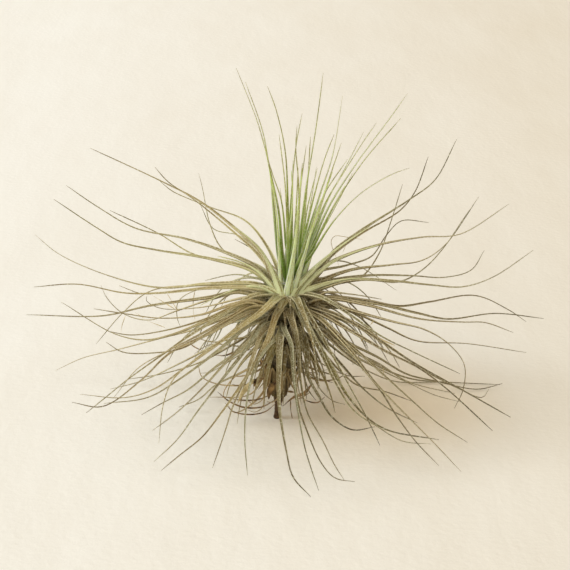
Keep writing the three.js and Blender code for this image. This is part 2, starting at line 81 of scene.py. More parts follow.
# Each lamp: its name, power and colour, the direction to it from the plant, and its spread in degrees.
LAMPS = [
    ("left lamp", 1.52, "#E8F3FF", (-0.80, -0.06, 0.60), 34),
    ("front lamp", 1.96, "#FFF7EA", (-0.25, -0.62, 0.74), 90),
]


def linear(colour):
    """An sRGB hex colour as linear red, green, blue and alpha."""
    parts = np.array([int(colour[k:k + 2], 16) for k in (1, 3, 5)]) / 255
    rgb = np.where(parts <= 0.04045, parts / 12.92, ((parts + 0.055) / 1.055) ** 2.4)
    return (*rgb, 1.0)


def add(tree, kind, inputs=None, places=(), colours=(), **settings):
    """Adds a shader node. inputs: what each socket gets, as a node (for its first output in use), an
    output, a hex colour or a value. places, colours: the stops of a colour ramp. settings: its
    properties, or its sockets by name."""
    node = tree.nodes.new("ShaderNode" + kind)
    for name, value in settings.items():
        if name in node.bl_rna.properties:
            setattr(node, name, value)
        else:
            node.inputs[name.replace("_", " ")].default_value = value
    for socket, source in (inputs or {}).items():
        if isinstance(source, bpy.types.Node):
            source = next(output for output in source.outputs if output.enabled)
        if isinstance(source, bpy.types.NodeSocket):
            tree.links.new(node.inputs[socket], source)
        else:
            node.inputs[socket].default_value = linear(source) if isinstance(source, str) else source
    for _ in colours[2:]:
        node.color_ramp.elements.new(0.5)
    for k, (place, colour) in enumerate(zip(places, colours)):
        node.color_ramp.elements[k].position = place
        node.color_ramp.elements[k].color = linear(colour)
    return node


def new_finish(name):
    """A new material and its node tree, still empty."""
    material = bpy.data.materials.new(name)
    material.use_nodes = True
    material.node_tree.nodes.clear()
    return material, material.node_tree


def finished(tree, colour, relief=None, **settings):
    """Ends a finish: a Principled shader with the colour and the relief, joined to the output."""
    inputs = {"Base Color": colour}
    if relief:
        inputs["Normal"] = relief
    add(tree, "OutputMaterial", {"Surface": add(tree, "BsdfPrincipled", inputs, **settings)})


def mesh_object(name, points, faces, material):
    """A smooth-shaded object at the origin from points in millimetres and a list of faces."""
    mesh = bpy.data.meshes.new(name)
    mesh.from_pydata(points * MM, [], faces)
    mesh.materials.append(material)
    mesh.shade_smooth()
    mesh.update()
    made = bpy.data.objects.new(name, mesh)
    bpy.context.collection.objects.link(made)
    return made


plaster, tree = new_finish("matt cream plaster")
place = add(tree, "TexCoord").outputs["Object"]
across = add(tree, "SeparateXYZ", {0: place})
# Painted falloff of the light: the plaster's colour darkens toward the right.
fade = add(tree, "MapRange", {0: across}, From_Min=PAINTED_FALLOFF_FROM * MM, From_Max=PAINTED_FALLOFF_TO * MM)
# The mottling and the dents are longer from front to back, so that they look round in a low view.
drawn_out = add(tree, "VectorMath", {0: place, 1: (1, math.sin(EYE_TILT), 1)}, operation="MULTIPLY")
blotch = add(tree, "TexNoise", {"Vector": drawn_out}, Scale=1 / (MOTTLE * MM), Detail=5.0)
depth = add(tree, "Mix", {0: MOTTLE_SHARE, 2: fade, 3: blotch}, data_type="FLOAT")
tint = add(tree, "Mix", {0: depth, 6: FLOOR_PALE, 7: FLOOR_DEEP}, data_type="RGBA")
# Painted bounce light: the plaster is paler and warmer near the plant, which lightens its shadow.
middle = (BOUNCE_MIDDLE[0] * MM, BOUNCE_MIDDLE[1] * MM, 0)
away = add(tree, "VectorMath", {0: place, 1: middle}, operation="DISTANCE")
near = add(tree, "MapRange", {0: away, 1: BOUNCE_REACH * MM, 2: 0.0}, interpolation_type="SMOOTHSTEP")
bounce_lit = add(tree, "Mix", {0: near, 6: tint, 7: PAINTED_BOUNCE_LIGHT}, data_type="RGBA")
dents = add(tree, "TexNoise", {"Vector": drawn_out}, Scale=1 / (DENT * MM), Detail=3.0)
hollow = add(tree, "Bump", {"Height": dents}, Strength=0.5, Distance=DENT_DEEP * MM)
marks = add(tree, "TexNoise", {"Vector": place}, Scale=1 / (TROWEL * MM), Detail=3.0)
relief = add(tree, "Bump", {"Height": marks, "Normal": hollow}, Strength=0.4, Distance=TROWEL_DEEP * MM)
finished(tree, bounce_lit, relief, Roughness=0.9, Specular_IOR_Level=0.2)

half = FLOOR_SIZE / 2
corners = np.array([[-half, -half, 0], [half, -half, 0], [half, half, 0], [-half, half, 0]])
floor = mesh_object("floor", corners, [(0, 1, 2, 3)], plaster)

room = bpy.data.worlds.new("pale room")
room.use_nodes = True
room.node_tree.nodes["Background"].inputs["Color"].default_value = linear(ROOM_TINT)
room.node_tree.nodes["Background"].inputs["Strength"].default_value = ROOM_LIGHT
bpy.context.scene.world = room

for name, power, colour, toward, spread_of in LAMPS:
    lamp = bpy.data.objects.new(name, bpy.data.lights.new(name, "SUN"))
    lamp.data.energy = power
    lamp.data.angle = math.radians(spread_of)
    lamp.data.color = linear(colour)[:3]
    toward = np.array(toward) / np.linalg.norm(toward)
    lamp.rotation_euler = (math.acos(toward[2]), 0, math.atan2(toward[1], toward[0]) + math.pi / 2)
    bpy.context.collection.objects.link(lamp)


# ---- Stem ----
# The short woody stem that every leaf grows from. It leans a little, stands on its flat cut end, and its
# bark is ringed with the scars of leaves that have dropped. Dry bark is rough, nearly black in its grain
# and brown where it is worn.

STEM_TOP = 54.5
STEM_LEAN = 0.09  # sideways, for each millimetre of height
CORE_RADIUS = 3.0
STEM_HEIGHTS = (0, 0.25, 2.5, 7, 12, STEM_TOP)
STEM_RADII = (1.35, 1.5, 1.3, 1.6, CORE_RADIUS, CORE_RADIUS)
STEM_AROUND, STEM_UP = 40, 160
SCAR_STEP, SCAR_DEPTH = 1.6, 0.12  # height from one leaf scar to the next, and its depth
FURROWS = [(0.6, 7, 3), (0.4, 11, -5)]  # waves: their share, their count round the stem, and their rise
FURROW_DEPTH = 0.08
GRAIN, GRAIN_DEEP = 1.2, 0.3  # size and depth of the bark's grain
GRAIN_PLACES = (0.35, 0.75)  # where in the grain the two colours lie
BARK_COLOURS = ("#2A1D12", "#6B5238")


def tube_faces(rings, around, start=0, closed=True):
    """Quads between neighbouring rings of points, which wind outward. closed: a face over each end."""
    k, j = np.meshgrid(np.arange(rings - 1), np.arange(around), indexing="ij")
    here, beside = k * around + j, k * around + (j + 1) % around
    quads = np.stack([here, beside, beside + around, here + around], axis=-1).reshape(-1, 4) + start
    faces = quads.tolist()
    if closed:
        faces.append((np.arange(around)[::-1] + start).tolist())
        faces.append((np.arange(around) + (rings - 1) * around + start).tolist())
    return faces


def grained(name, colours, places, size, detail, deep=0.0, strength=0.5, upward=1.0, **settings):
    """A finish that runs between two colours in a grain: its size and depth, how strong its relief is,
    and what heights are multiplied by, which draws the grain out upward where it is less than 1."""
    material, tree = new_finish(name)
    place = add(tree, "TexCoord").outputs["Object"]
    scaled = add(tree, "VectorMath", {0: place, 1: (1, 1, upward)}, operation="MULTIPLY")
    grain = add(tree, "TexNoise", {"Vector": scaled}, Scale=1 / (size * MM), Detail=detail)
    colour = add(tree, "ValToRGB", {"Fac": grain}, places, colours)
    relief = add(tree, "Bump", {"Height": grain}, Strength=strength, Distance=deep * MM) if deep else None
    finished(tree, colour, relief, **settings)
    return material


def added(piece, node):
    """Hands a piece to the frame, to stand for a node."""
    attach(piece, "root")
    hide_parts(node)


# Scars wind round the stem, a step of height in half a turn, and their relief is |sin| across them.
heights = np.linspace(0, STEM_TOP, STEM_UP)[:, None]
angles = np.linspace(0, 2 * math.pi, STEM_AROUND, endpoint=False)[None, :]
scars = np.abs(np.sin(math.pi * (heights / SCAR_STEP + angles / math.pi)))
furrows = sum(share * np.sin(count * angles + heights / rise) for share, count, rise in FURROWS)
radii = np.interp(heights, STEM_HEIGHTS, STEM_RADII)
radii = radii - SCAR_DEPTH * (1 - scars) + FURROW_DEPTH * (furrows - 1)
stem_points = np.stack([STEM_LEAN * heights + radii * np.cos(angles), radii * np.sin(angles),
                        heights + 0 * angles], axis=-1).reshape(-1, 3)

bark = grained("dry bark", BARK_COLOURS, GRAIN_PLACES, GRAIN, detail=6.0, deep=GRAIN_DEEP, strength=0.6,
               Roughness=0.85, Specular_IOR_Level=0.3)
added(mesh_object("stem_bark", stem_points, tube_faces(STEM_UP, STEM_AROUND), bark), "stem")


# ---- Leaves: the rings ----
# The leaves grow in rings, one for each age: a fresh green heart, a silver-green crown, olive
# shoulders, a grey-brown skirt, dull leaves close under it, and dry ones at the foot. Each is a
# tapering, channelled blade that clasps the stem with its sheath.
#
# low, high: the ring's lower and upper height. radius: its outside radius at each. sleeve: the radii
# of its sleeve, where they are other ones.
# seen: one leaf a row, as how far behind the crown its tip is (less than 0 is nearer the front), its
# width at the base, then its places across and up, from root to tip, as the camera sees them.
# hidden: leaves set by rule, as their count, first and last direction in degrees (90 is the back),
# launch and fall angle in degrees above level, length, width at the base, and greatest sideways curl.
# bracts: short leaf bases, set by rule as the hidden leaves are.
# clasping: leaves that clasp the middle from the front, as how far behind the crown their start and
# their tip are, their width at the base, and their places across and up.
# fresh, worn: colours from root to tip of the freshest and of the most worn leaf of the ring.
# lip: colour of its thin edges, partly a painted highlight. scurf: how much silver bloom it keeps.
# dull and shade, tinge: how much its dullest leaves are dulled, and those to the right darkened as
# painted shade, and its greyest turned grey-green. glow: how much light its leaves let in. taper: how
# soon they narrow. shade: how much painted shade darkens their roots, where the leaf bases crowd
# together; root: the colour of that, and dark: the shares of their length between which it grows.
# sheath: the dark and pale colour of its sleeve.

GAP = 0.3  # between one ring and the next
HEART = dict(
    name="heart_leaves", low=STEM_TOP + GAP, high=62, radius=(3.8, 2.2), sleeve=(3.2, 1.4),
    fresh=("#D6E4C0", "#ACD648", "#8FB628", "#9EA272"),
    worn=("#D6E2C6", "#C0CC90", "#A2A66C", "#989478"),
    lip="#F0F3CA", scurf=0.5, dull=0.25, tinge=0.0, shade=0.85, glow=0.5, taper=2.6,
    # Its dark sleeve and dark green roots are painted shade in the slits between its leaf bases.
    sheath=("#3E4A12", "#8E9E50"), root="#4E7004", dark=(0.62, 0.12),
    bracts=[], hidden=[],
)
HEART["seen"] = [
    (10, 3.2, -2.2, 62, -4.3, 80, -6.2, 98, -10.5, 115, -14, 124.5, -19.5, 138),
    (-15, 3, -1, 62, -2.5, 80.5, -6.3, 99, -9, 113, -15.8, 132.5),
    (30, 2.6, 0.3, 68, -1.5, 85, -5, 95.5, -9.8, 112),
    (8, 3, 0.9, 68, 1, 86, 0, 105, -3.5, 121, -7, 130.7),
    (-28, 2.8, 1.1, 70, 0, 92, -2.4, 111.4),
    (24, 2.8, 1.8, 72, 3, 93, 4.6, 108, 6.9, 120),
    (45, 2.6, 4.5, 68, 5.5, 90, 4.3, 106, 4.8, 115),
    (55, 2.6, 5.2, 70, 6.3, 90, 8.5, 107),
    (0, 3.2, 5.5, 66, 8.2, 89, 12.2, 113, 15.3, 136),
    (38, 2.6, 7, 72, 9, 92, 10.2, 110.5),
    (58, 2.4, 7.5, 70, 11, 88, 12.6, 98.5),
    (20, 2.8, 7.5, 70, 12, 88, 16, 102, 19.7, 111.5),
    (6, 3.2, 8, 68, 14, 87.5, 19, 103, 23, 127),
    (48, 2.6, 9, 68, 16, 89, 22.5, 108),
    (62, 2.4, 9.5, 67, 15.5, 86, 20, 100.5),
    (12, 3, 9, 66, 16.5, 84.5, 24, 97, 31, 108, 36.5, 116),
    (30, 2.8, 9.5, 66, 17, 85, 24, 98, 31.4, 112.5),
    (0, 3.2, 10, 66, 18, 83.5, 29, 100.5, 42, 118, 49, 127.8),
    (-14, 3, 11, 66, 20.5, 84.5, 32, 101.5, 46.3, 117.9),
    (-26, 2.8, 11, 64, 20, 77.5, 31, 88.5, 43, 95.6, 49.8, 98),
    (-20, 4, 2.8, 62, 4.2, 72, 5.8, 87, 7, 100),
    (-30, 4, 6.8, 63, 9.6, 71.5, 16, 88, 25, 101.5),
    (2, 2.8, 5.5, 66, 7.5, 80, 9.5, 96),
    (14, 2.6, 6.5, 66, 9, 82, 13, 98),
    (-8, 2.8, 3.5, 66, 4.5, 82, 5.3, 98),
    (6, 2.6, 2.5, 66, 3, 85, 3.2, 101),
    (60, 2.6, 1, 64, -0.5, 78, -2, 90),
    (50, 2.6, 12, 68, 21, 84, 27, 96),
]
HEART["clasping"] = [
    (-3.6, -26, 4, 1.4, 46.5, 1.6, 50.5, 2.4, 56, 3, 60.4, 3.8, 66, 4.5, 72.4, 5, 78.8, 5.8, 87, 7, 98),
    (-2.8, -34, 3.1, 4, 49, 4.9, 53, 6.7, 59.6, 8.6, 66, 9.9, 70.8, 12.6, 79, 15.3, 86.8, 19, 96.5),
    (-1.6, 2, 2.8, 5.8, 49.5, 6.8, 53.2, 8.6, 58, 10.4, 63.2, 12, 67.6, 14.8, 74, 18.8, 81.6, 24, 91),
    (-2.6, -6, 2.4, -1.7, 50.5, -1.9, 55, -2.2, 61, -2.4, 66, -2.8, 71.2, -3.4, 79, -4.6, 88, -6.4, 98),
    (-2.4, 0, 2.2, -0.4, 51.5, -0.4, 56, 0.2, 62, 1, 67, 2, 73.5, 2.7, 80, 3, 88, 2.6, 97),
]

CROWN = dict(
    name="crown_leaves", low=50.3, high=54.5, radius=(5.6, 4.6),
    fresh=("#CCD6A8", "#C2C892", "#A6A870", "#756E4A"),
    worn=("#CCD4AA", "#CFC394", "#B09F70", "#756848"),
    lip="#EAE4BC", scurf=0.55, dull=0.75, tinge=0.35, shade=0.65, taper=2.45,
    sheath=("#5E5C30", "#BABE90"), root="#4E4A20", dark=(0.14, 0.03),
    bracts=[(9, -178, -2, 24, -84, 10, 5.2, 20), (7, 10, 170, 24, -60, 15, 4.4, 24)],
    hidden=[(6, 58, 122, -6, -50, 104, 3.8, 12)],
)
CROWN["seen"] = [
    (5, 4.2, -9, 63.7, -20, 74, -34, 84.7, -50, 93, -78, 106),
    (40, 3.6, -10, 62.5, -23, 74.5, -37, 85.8, -47, 92.7, -52, 98.3),
    (55, 3.2, -7.5, 67, -16, 77, -30, 82.4, -45, 88.7, -50, 92.7),
    (50, 3.2, -10, 58.5, -25, 65.5, -30, 75.5, -33, 90, -34.5, 96),
    (66, 3, -8, 60.5, -18, 70.8, -29, 74, -33.7, 83),
    (15, 3.8, -10, 57.5, -25, 64.8, -40, 69.8, -60, 74, -75, 82.5, -87.5, 91),
    (-3, 3.8, -12, 56.5, -30, 61.8, -50, 65, -65, 68.2, -75, 73.9, -92.5, 85.5),
    (45, 3.2, -10, 55.5, -20, 60, -37, 63.7, -51, 72, -70, 81),
    (-10, 3.8, -12, 51.5, -30, 51.8, -50, 50.2, -70, 54.8, -90, 63.4, -100, 71.3),
    (-24, 3.8, -12, 50, -30, 50, -50, 48, -64, 48, -83, 51.5, -100.5, 50.4),
    (78, 2.6, -6, 59.7, -14, 66.2, -20, 69.5),
    (30, 3, -10, 53.5, -20, 55.4, -32, 53),
    (10, 4, 10, 55.5, 20, 65.3, 30, 72.8, 50, 85.5, 60, 93.2, 68.7, 109.5),
    (30, 3.6, 11, 56, 21, 65, 31, 72, 46, 81, 52, 88.5, 57.3, 102.5),
    (60, 3.2, 15, 52.5, 30, 54, 37.5, 63.5, 43.3, 79.5, 47, 91.5),
    (52, 3.2, 13, 56.5, 25, 59.2, 35, 63, 40.5, 71, 46.5, 76.8, 57.5, 76.2),
    (4, 3.8, 12, 57, 24, 63, 38, 67.5, 55, 70.4, 70, 71.6, 89.5, 83.5),
    (34, 3.6, 14, 53, 27, 57.5, 43, 59.4, 55, 61.2, 64, 67.3, 77.5, 86.5),
    (48, 3.4, 15, 51, 32, 53.4, 46, 52.6, 55, 57.3, 63, 65.5, 74, 81.5),
    (22, 3.4, 16, 52.5, 32, 55, 50, 55, 64, 54.3, 74.5, 57.2, 79.7, 65),
    (-8, 4, 12, 49.5, 26, 53.3, 42, 53, 58, 51.3, 71, 50.5, 83, 54.3, 99.5, 65.2),
    (8, 2.4, 12, 57.5, 20, 60.9, 30, 58.4, 44.7, 49),
    (-47, 4.6, 6.5, 42.5, 11.5, 32.5, 17.5, 20.5, 24, 8.5, 32.5, -1.5, 41, -6.8, 61.5, -10.7),
    (-55, 4.6, 4.5, 45.5, 8, 37.8, 11, 28, 12.5, 18.5, 13.8, 10),
    (-62, 4.8, -7, 43.5, -22, 31, -36, 21.3, -45, 13, -48.8, 3, -50.5, -12),
    (-45, 4.6, -10, 45.5, -20, 41, -35, 33, -48, 24, -63, 13.3, -72, 6, -79.5, 0),
    (-50, 4.4, 8, 38, 14.5, 24, 20.5, 11.5, 27.5, 1, 37, -5.5, 47, -11.5, 58.3, -12.8),
    (-45, 3.8, 14, 46.5, 26, 39.3, 38, 31, 50, 25, 60, 20.3, 70, 15.7),
    (-50, 4, 11, 37, 19, 23, 26.5, 9.5, 32.5, -1.5, 38, -13),
]
CROWN["clasping"] = [
    (-4.6, -4, 4.6, 2.6, 45.4, 3.8, 48.8, 6.4, 52, 10.4, 56.4, 15, 60.8, 20, 65, 26, 69.4, 34, 74.6),
    (-4.4, -2, 4.4, -1.4, 45.6, -2.2, 49.6, -4.2, 54.4, -6.4, 59.6, -9.8, 65.2, -14.5, 70, -21, 75),
    (-4.2, 0, 4.2, 4.6, 45.6, 6.4, 48.6, 10, 53, 14.6, 57.2, 20, 61, 28, 64.4, 38, 67.4),
    (-4, -3, 4.4, 4.4, 45, 7, 47.8, 11.4, 50, 16, 51.6, 22, 53, 30, 53.8, 40, 53),
    (-4.2, 0, 4.2, -2, 45.2, -3.6, 48.6, -7.2, 53, -11.5, 57, -18, 60.4, -27, 62.8),
    (-4.4, -6, 4, -1.6, 45.2, -3.8, 47.6, -7.6, 49.8, -12, 50.6, -18, 49.8, -26, 47, -34, 43),
]

SHOULDERS = dict(
    name="shoulder_leaves", low=44.8, high=50, radius=(6.4, 5.8),
    fresh=("#C2BD90", "#C0B784", "#A0976A", "#6E6544"),
    worn=("#C2B28A", "#BAAA80", "#978860", "#675C3E"),
    lip="#EEE2B6", scurf=0.4, dull=0.9, tinge=0.4, shade=0.45, taper=2.15, sheath=("#5C4C2C", "#A8966C"),
    bracts=[(11, -170, 10, 10, -88, 14, 4.6, 24), (8, 10, 170, 10, -60, 15, 4.4, 24)],
    hidden=[(10, 58, 122, -8, -62, 98, 3.8, 16), (3, 24, 52, -28, -78, 50, 3.8, 16),
            (3, 128, 156, -28, -78, 50, 3.8, 16)],
)
SHOULDERS["seen"] = [
    (28, 3.6, -14, 49, -30, 45.5, -44, 40.7, -55, 37.2, -65, 40, -71.5, 46.5, -73.5, 51),
    (-40, 3.8, -14, 45.5, -34, 39.3, -50, 38, -63, 39.6, -76.5, 41.7),
    (-8, 3.8, -14, 49.3, -30, 46.4, -54, 43, -73, 38.9, -103.5, 39.3),
    (-35, 3.8, -14, 43.5, -30, 37.5, -45, 31.5, -56, 29.3, -68, 31.7, -89.5, 44.4),
    (-50, 3.6, -15, 44.5, -32, 37.5, -48, 33, -62, 31.2, -71, 32.8),
    (36, 3.6, -15, 50.5, -38, 51, -54, 48.8, -65, 40, -75.5, 27.7),
    (44, 3.2, -15, 51, -30, 50.5, -45, 48.8, -57, 47.7, -66.5, 51),
    (18, 3.4, -14, 46.5, -34, 42.3, -50, 42, -55.4, 45, -55.2, 46.9),
    (50, 3, -20, 50, -36, 49, -42.7, 44.5, -43, 37.5, -42, 35),
    (34, 3.6, -14, 42, -33, 34.5, -50, 29.9, -67, 25.4, -81, 22, -91.8, 17),
    (-42, 3.6, -14, 42.5, -30, 32.5, -41, 26, -53, 24, -65, 24.4, -71.5, 28.3),
    (-60, 3.8, -14, 42, -34, 31.5, -48, 24.3, -59, 17.8, -68.5, 6.2),
    (-20, 3.8, -14, 40.5, -33, 30.5, -46, 24, -58, 12.7, -73, 2.6, -85.3, 4.3),
    (-52, 3.8, -10, 40.5, -26, 28.3, -40, 18.2, -52, 9.8, -64, 6.2, -82, 7.5),
    (-15, 3.8, 14, 48.2, 26, 47.6, 38.7, 45.5),
    (36, 3.6, 16, 46.7, 33, 45, 46, 42.8, 58, 44.5, 76, 47, 89, 41.5, 96.5, 36.5),
    (-4, 3.8, 17, 46, 34, 44.4, 53, 40, 65, 37.6, 84, 39.8, 103.5, 37.8),
    (-24, 3.8, 16, 46, 32, 43.5, 54, 37.7, 71, 36.4, 80, 36.2, 91.3, 32.2),
    (-32, 3.8, 13, 47, 25, 41.8, 43, 36.7, 56, 33.4, 65.5, 27.7, 71.7, 19.5, 71.3, 9.5, 67.7, 1.8),
    (38, 3.6, 14, 44.7, 28, 40.3, 41, 34.2, 53, 28.9, 73, 27.8, 96.5, 24.2),
    (-40, 3.8, 13, 42.5, 27, 36, 39, 28.3, 51, 20.3, 70, 9.7, 90.2, -1.7),
    (-47, 3.8, 13, 40.5, 27, 32.5, 41, 24.3, 53, 18.3, 64, 10.2, 83, -7.1),
    (-20, 3.4, 13, 41, 34, 28.3, 53, 18.3, 70, 9.5, 79, 6.2, 81.5, 9.5),
    (-58, 3.8, 15, 36.5, 27, 24, 36, 12.3, 50, -2.3, 60, -12.3, 70.5, -23.5),
    (-44, 3.8, 15, 36, 27, 26.5, 39, 15.7, 51, 4.8, 61, -4, 73, -11.8),
    (-68, 3.6, 5, 27, 6.3, 12, 9, 0, 15.2, -11.2, 19.7, -20.5, 24, -27.3),
    (-70, 4.2, 2.2, 38, 3, 30, 3.7, 16, 5.4, 3, 8.5, -6.5, 14.5, -20, 20, -26, 28, -27.5),
    (-60, 4.4, -1.5, 41, -5, 34, -11, 22, -18, 10.5, -25.5, 0, -33, -9.5, -42.5, -17.2, -49.5, -23),
]
SHOULDERS["clasping"] = [
    (-4.8, -12, 5, 0.6, 48, -0.8, 44.6, -2.4, 41, -3.8, 36, -5, 29),
    (-4.8, -13, 5, 1.8, 48.2, 3.4, 44.8, 5, 41, 6.6, 36.5, 8, 30),
]

SKIRT = dict(
    name="skirt_leaves", low=35.8, high=44.5, radius=(6.6, 6.4),
    fresh=("#AEA682", "#B0B08C", "#989772", "#6C6546"),
    worn=("#A89C78", "#ADA27E", "#918764", "#665C40"),
    lip="#E4D8AE", scurf=0.4, dull=0.8, tinge=0.6, shade=0.75, taper=1.95, sheath=("#342814", "#857450"),
    bracts=[(9, -170, 10, 0, -88, 15, 4.4, 24), (7, 10, 170, 10, -70, 15, 4.4, 24)],
    hidden=[(9, 52, 128, -6, -62, 90, 3.8, 16), (4, 16, 48, -6, -66, 56, 3.8, 16),
            (4, 132, 164, -6, -66, 56, 3.8, 16)],
)
SKIRT["seen"] = [
    (-47, 3.8, -8, 37, -16, 25, -26, 12.3, -35, 0.6, -43, -10.5, -52.5, -19.5),
    (-56, 3.8, -9, 28, -15, 15.5, -20.7, 3, -24, -7.5, -29, -22),
    (-62, 3.6, -5, 30, -12, 18, -15.2, 5, -16.1, -9, -15, -25),
    (-6, 3.8, -12, 29, -27, 19, -39, 9.2, -49, 4, -57.5, -0.8),
    (-84, 5.4, -1.9, 31, -2.4, 17, -2.5, 7, -1.9, -1, -0.8, -8, 0.5, -15, 3.2, -25.5, 10.3, -33.5),
    (-82, 3.9, 0.9, 33, 2.6, 27, 3.2, 16, 4.4, 6, 6, -4, 8, -14, 10.4, -22, 13.5, -31),
    (-34, 3.4, 6, 33, 6.8, 20, 9.5, 9, 12.5, 5),
    (26, 3.8, 13, 38.5, 25, 29, 37, 22.5, 49, 15.5, 61, 12.6, 77, 9.5, 87, 11.8),
    (38, 3.6, 13, 36, 26, 26.5, 39, 18, 51, 13.6, 64, 12.3, 86, 11.3),
    (-12, 3.8, 14, 34.5, 26, 25.5, 38, 19.5, 49, 12.7, 68, 7.8),
    (2, 3.6, 14, 33, 26, 24, 38, 17.5, 50, 11.8, 60, 7.2, 70, 4.5),
    (34, 3.4, 12, 33, 23, 23.5, 34, 16.5, 46, 12.2, 62, 12.2),
    (-51, 4, 12, 35.5, 22, 26, 31, 18, 38.5, 8.5, 44.5, -1, 51, -9.5, 61.5, -21),
    (-34, 4, 8.5, 27, 9, 15.5, 13.5, 6.8, 19, -1.8, 27, -6.7, 36, -5.5),
    (-36, 3.8, -12, 36.5, -28, 24, -43, 13, -55, 6.2, -72.5, 3.8),
    (16, 3.6, -13, 37, -28, 27.5, -43, 19.5, -57, 13, -70, 9.5),
    (30, 3.6, -12, 33, -24, 25.5, -36, 19.5, -50, 15.5, -63, 13.5),
    (-24, 3.6, -12, 32, -23, 21, -33, 10, -43, 0.5, -53, -7),
    (-28, 3.6, 12, 31, 22, 20, 31, 10, 41, 2, 53, -4),
]

UNDER = dict(
    name="under_leaves", low=24.3, high=35.5, radius=(6.0, 6.6),
    fresh=("#847C40", "#A8A060", "#A59C68", "#8D825C"),
    worn=("#7C6F3E", "#9E925A", "#9A8E62", "#827450"),
    lip="#CFC096", scurf=0.3, dull=0.8, tinge=0.5, shade=0.8, taper=1.6, sheath=("#2A2210", "#6A5E34"),
    bracts=[(6, -165, -5, -40, -88, 17, 2.8, 30)],
    hidden=[(12, 15, 375, -50, -88, 26, 4.2, 16), (9, 20, 380, -30, -76, 31, 3.8, 30)],
)
UNDER["seen"] = [
    (-10, 3.4, -5, 24, -7.5, 14, -10.8, 9.3),
    (5, 3.2, -13, 27, -22, 21, -30, 16.4, -34.3, 15.9),
    (20, 2.8, -15, 27.5, -30, 27.6, -36.5, 23.5),
    (10, 3, -14, 31, -21, 30, -29, 28.8, -37, 30.8),
    (5, 3.2, 13, 27, 22, 17, 29, 11.2, 40, 8.6, 50.5, 4.8),
    (16, 2.8, 12, 22, 25, 15, 32, 14.7),
    (3, 2.8, 9, 24, 13.5, 10.5, 19, 5, 24, 3.4),
    (-6, 3.4, -8, 24, -15, 13.5, -18.2, 2, -19.2, -4.5),
    (5, 3, -12, 20, -28, 11, -34.5, 5.5, -42.5, 2.3),
]

DRY = dict(
    name="dry_leaves", low=10.5, high=23.6, radius=(4.2, 5.0), sleeve=(3.3, 4.9),
    fresh=("#8A7448", "#B8A478", "#C6B48A", "#A6926C"),
    worn=("#75683A", "#A39058", "#AE9A68", "#927A56"),
    lip="#DCC79C", scurf=0.1, dull=0.8, tinge=0.0, shade=0.5, taper=1.5, sheath=("#2E2510", "#72623A"),
    bracts=[(6, -170, 0, -70, -80, 9, 2.4, 40)],
    hidden=[(5, 20, 380, -62, 34, 24, 2.4, 60), (4, 60, 420, -38, -10, 18, 2.6, 60)],
)
DRY["seen"] = [
    (10, 2.4, -11, 13, -24, 11.2, -33, 14.3, -34.8, 20),
    (-6, 2.4, -12, 19, -20, 14.7, -24.6, 8, -24, 5.5),
    (-6, 2.6, -6, 12.5, -13, 3.7, -20, 0.1, -23, 3.2),
    (16, 2.2, -14, 7.5, -30.5, 6.3),
    (-2, 2, -7, 3, -11, 0.6, -15, 1.3),
    (3, 2, -8, 5.5, -12, 3.5, -15.3, 5.2),
    (4, 2.2, 10, 16, 17, 17.3),
    (7, 2.2, 11, 15, 19.5, 12),
    (-2, 2.6, 4, 6, 10.5, 8.5),
]

RINGS = [HEART, CROWN, SHOULDERS, SKIRT, UNDER, DRY]

LEAF_TIP = 0.5  # width of the solid's leaf at its tip, before its least width
THINNEST = 0.9  # least width that leaves keep clear of each other by
TAPER = 1.8  # how soon the solids' leaves narrow, which says how much room a leaf keeps
STATION_STEP, HEART_STEP = 11.0, 13.0  # between the places at which a leaf can give way
LEAST_STEPS = 4
CHORDS = 200  # that a curve's length is measured on
SUNK = 1.0  # how deep a root lies in its ring
ROOTS_OVER, ROOTS_UNDER = 1.0, 1.5  # how far roots keep from the ring's lower and upper end
RIM_OUT, RIM_UP = 1.0, 1.5  # a leaf turns outward this far outside its ring and above it
REST = 1.0  # height of a leaf's line where it lies on the surface
SHORTEST, LONGEST = 0.84, 1.14  # of a leaf set by rule, as parts of its group's length
LIFT = 6.0  # most degrees that such a leaf starts above or below its group
LINE_PACES = 6
SIGHT_UP = 51.2  # what "up" reads at SIGHT
CROWN_SEEN = (1.0, 48.0)  # across and up of the middle that the leaves spread from
EARLY_DEPTH = 1.8  # above 1, a leaf gains more of its depth near the crown
# Irrational paces, one for each thing that differs from leaf to leaf of a group.
PACES = dict(root=0.6180340, length=0.7548777, curl=0.5698403, lift=0.8191725)


def stem_axis(height):
    """The middle of the leaning stem at each height."""
    height = np.asarray(height, float)
    return np.stack([STEM_LEAN * height, 0 * height, height], axis=-1)


def spread(i, pace):
    """Member i's share from 0 to 1: i steps of an irrational pace, less whole numbers."""
    return (0.5 + i * PACES[pace]) % 1


def along_curve(points, t):
    """Centripetal Catmull-Rom curve: between two points a cubic, whose slopes come from their
    neighbours, paced by the square root of the distance from each point to the next."""
    ends = np.vstack([2 * points[0] - points[1], points, 2 * points[-1] - points[-2]])
    pace = np.linalg.norm(np.diff(ends, axis=0), axis=1) ** 0.5
    place = t * (len(points) - 1)
    i = np.minimum(place.astype(int), len(points) - 2)
    w = (place - i)[:, None]
    a, b, c, d = (ends[i + k] for k in range(4))
    ab, bc, cd = (pace[i + k][:, None] for k in range(3))
    out = bc * ((b - a) / ab - (c - a) / (ab + bc) + (c - b) / bc)
    home = bc * ((c - b) / bc - (d - b) / (bc + cd) + (d - c) / cd)
    return b + w * (out + w * (3 * (c - b) - 2 * out - home + w * (2 * (b - c) + out + home)))


def spaced(points, steps):
    """Stations at even steps of length along the curve, measured on chords, and its length."""
    t = np.linspace(0, 1, CHORDS + 1)
    chords = np.linalg.norm(np.diff(along_curve(points, t), axis=0), axis=1)
    run = np.concatenate([[0], np.cumsum(chords)])
    shares = np.interp(np.linspace(0, run[-1], steps + 1), run, t)
    return along_curve(points, shares), run[-1]


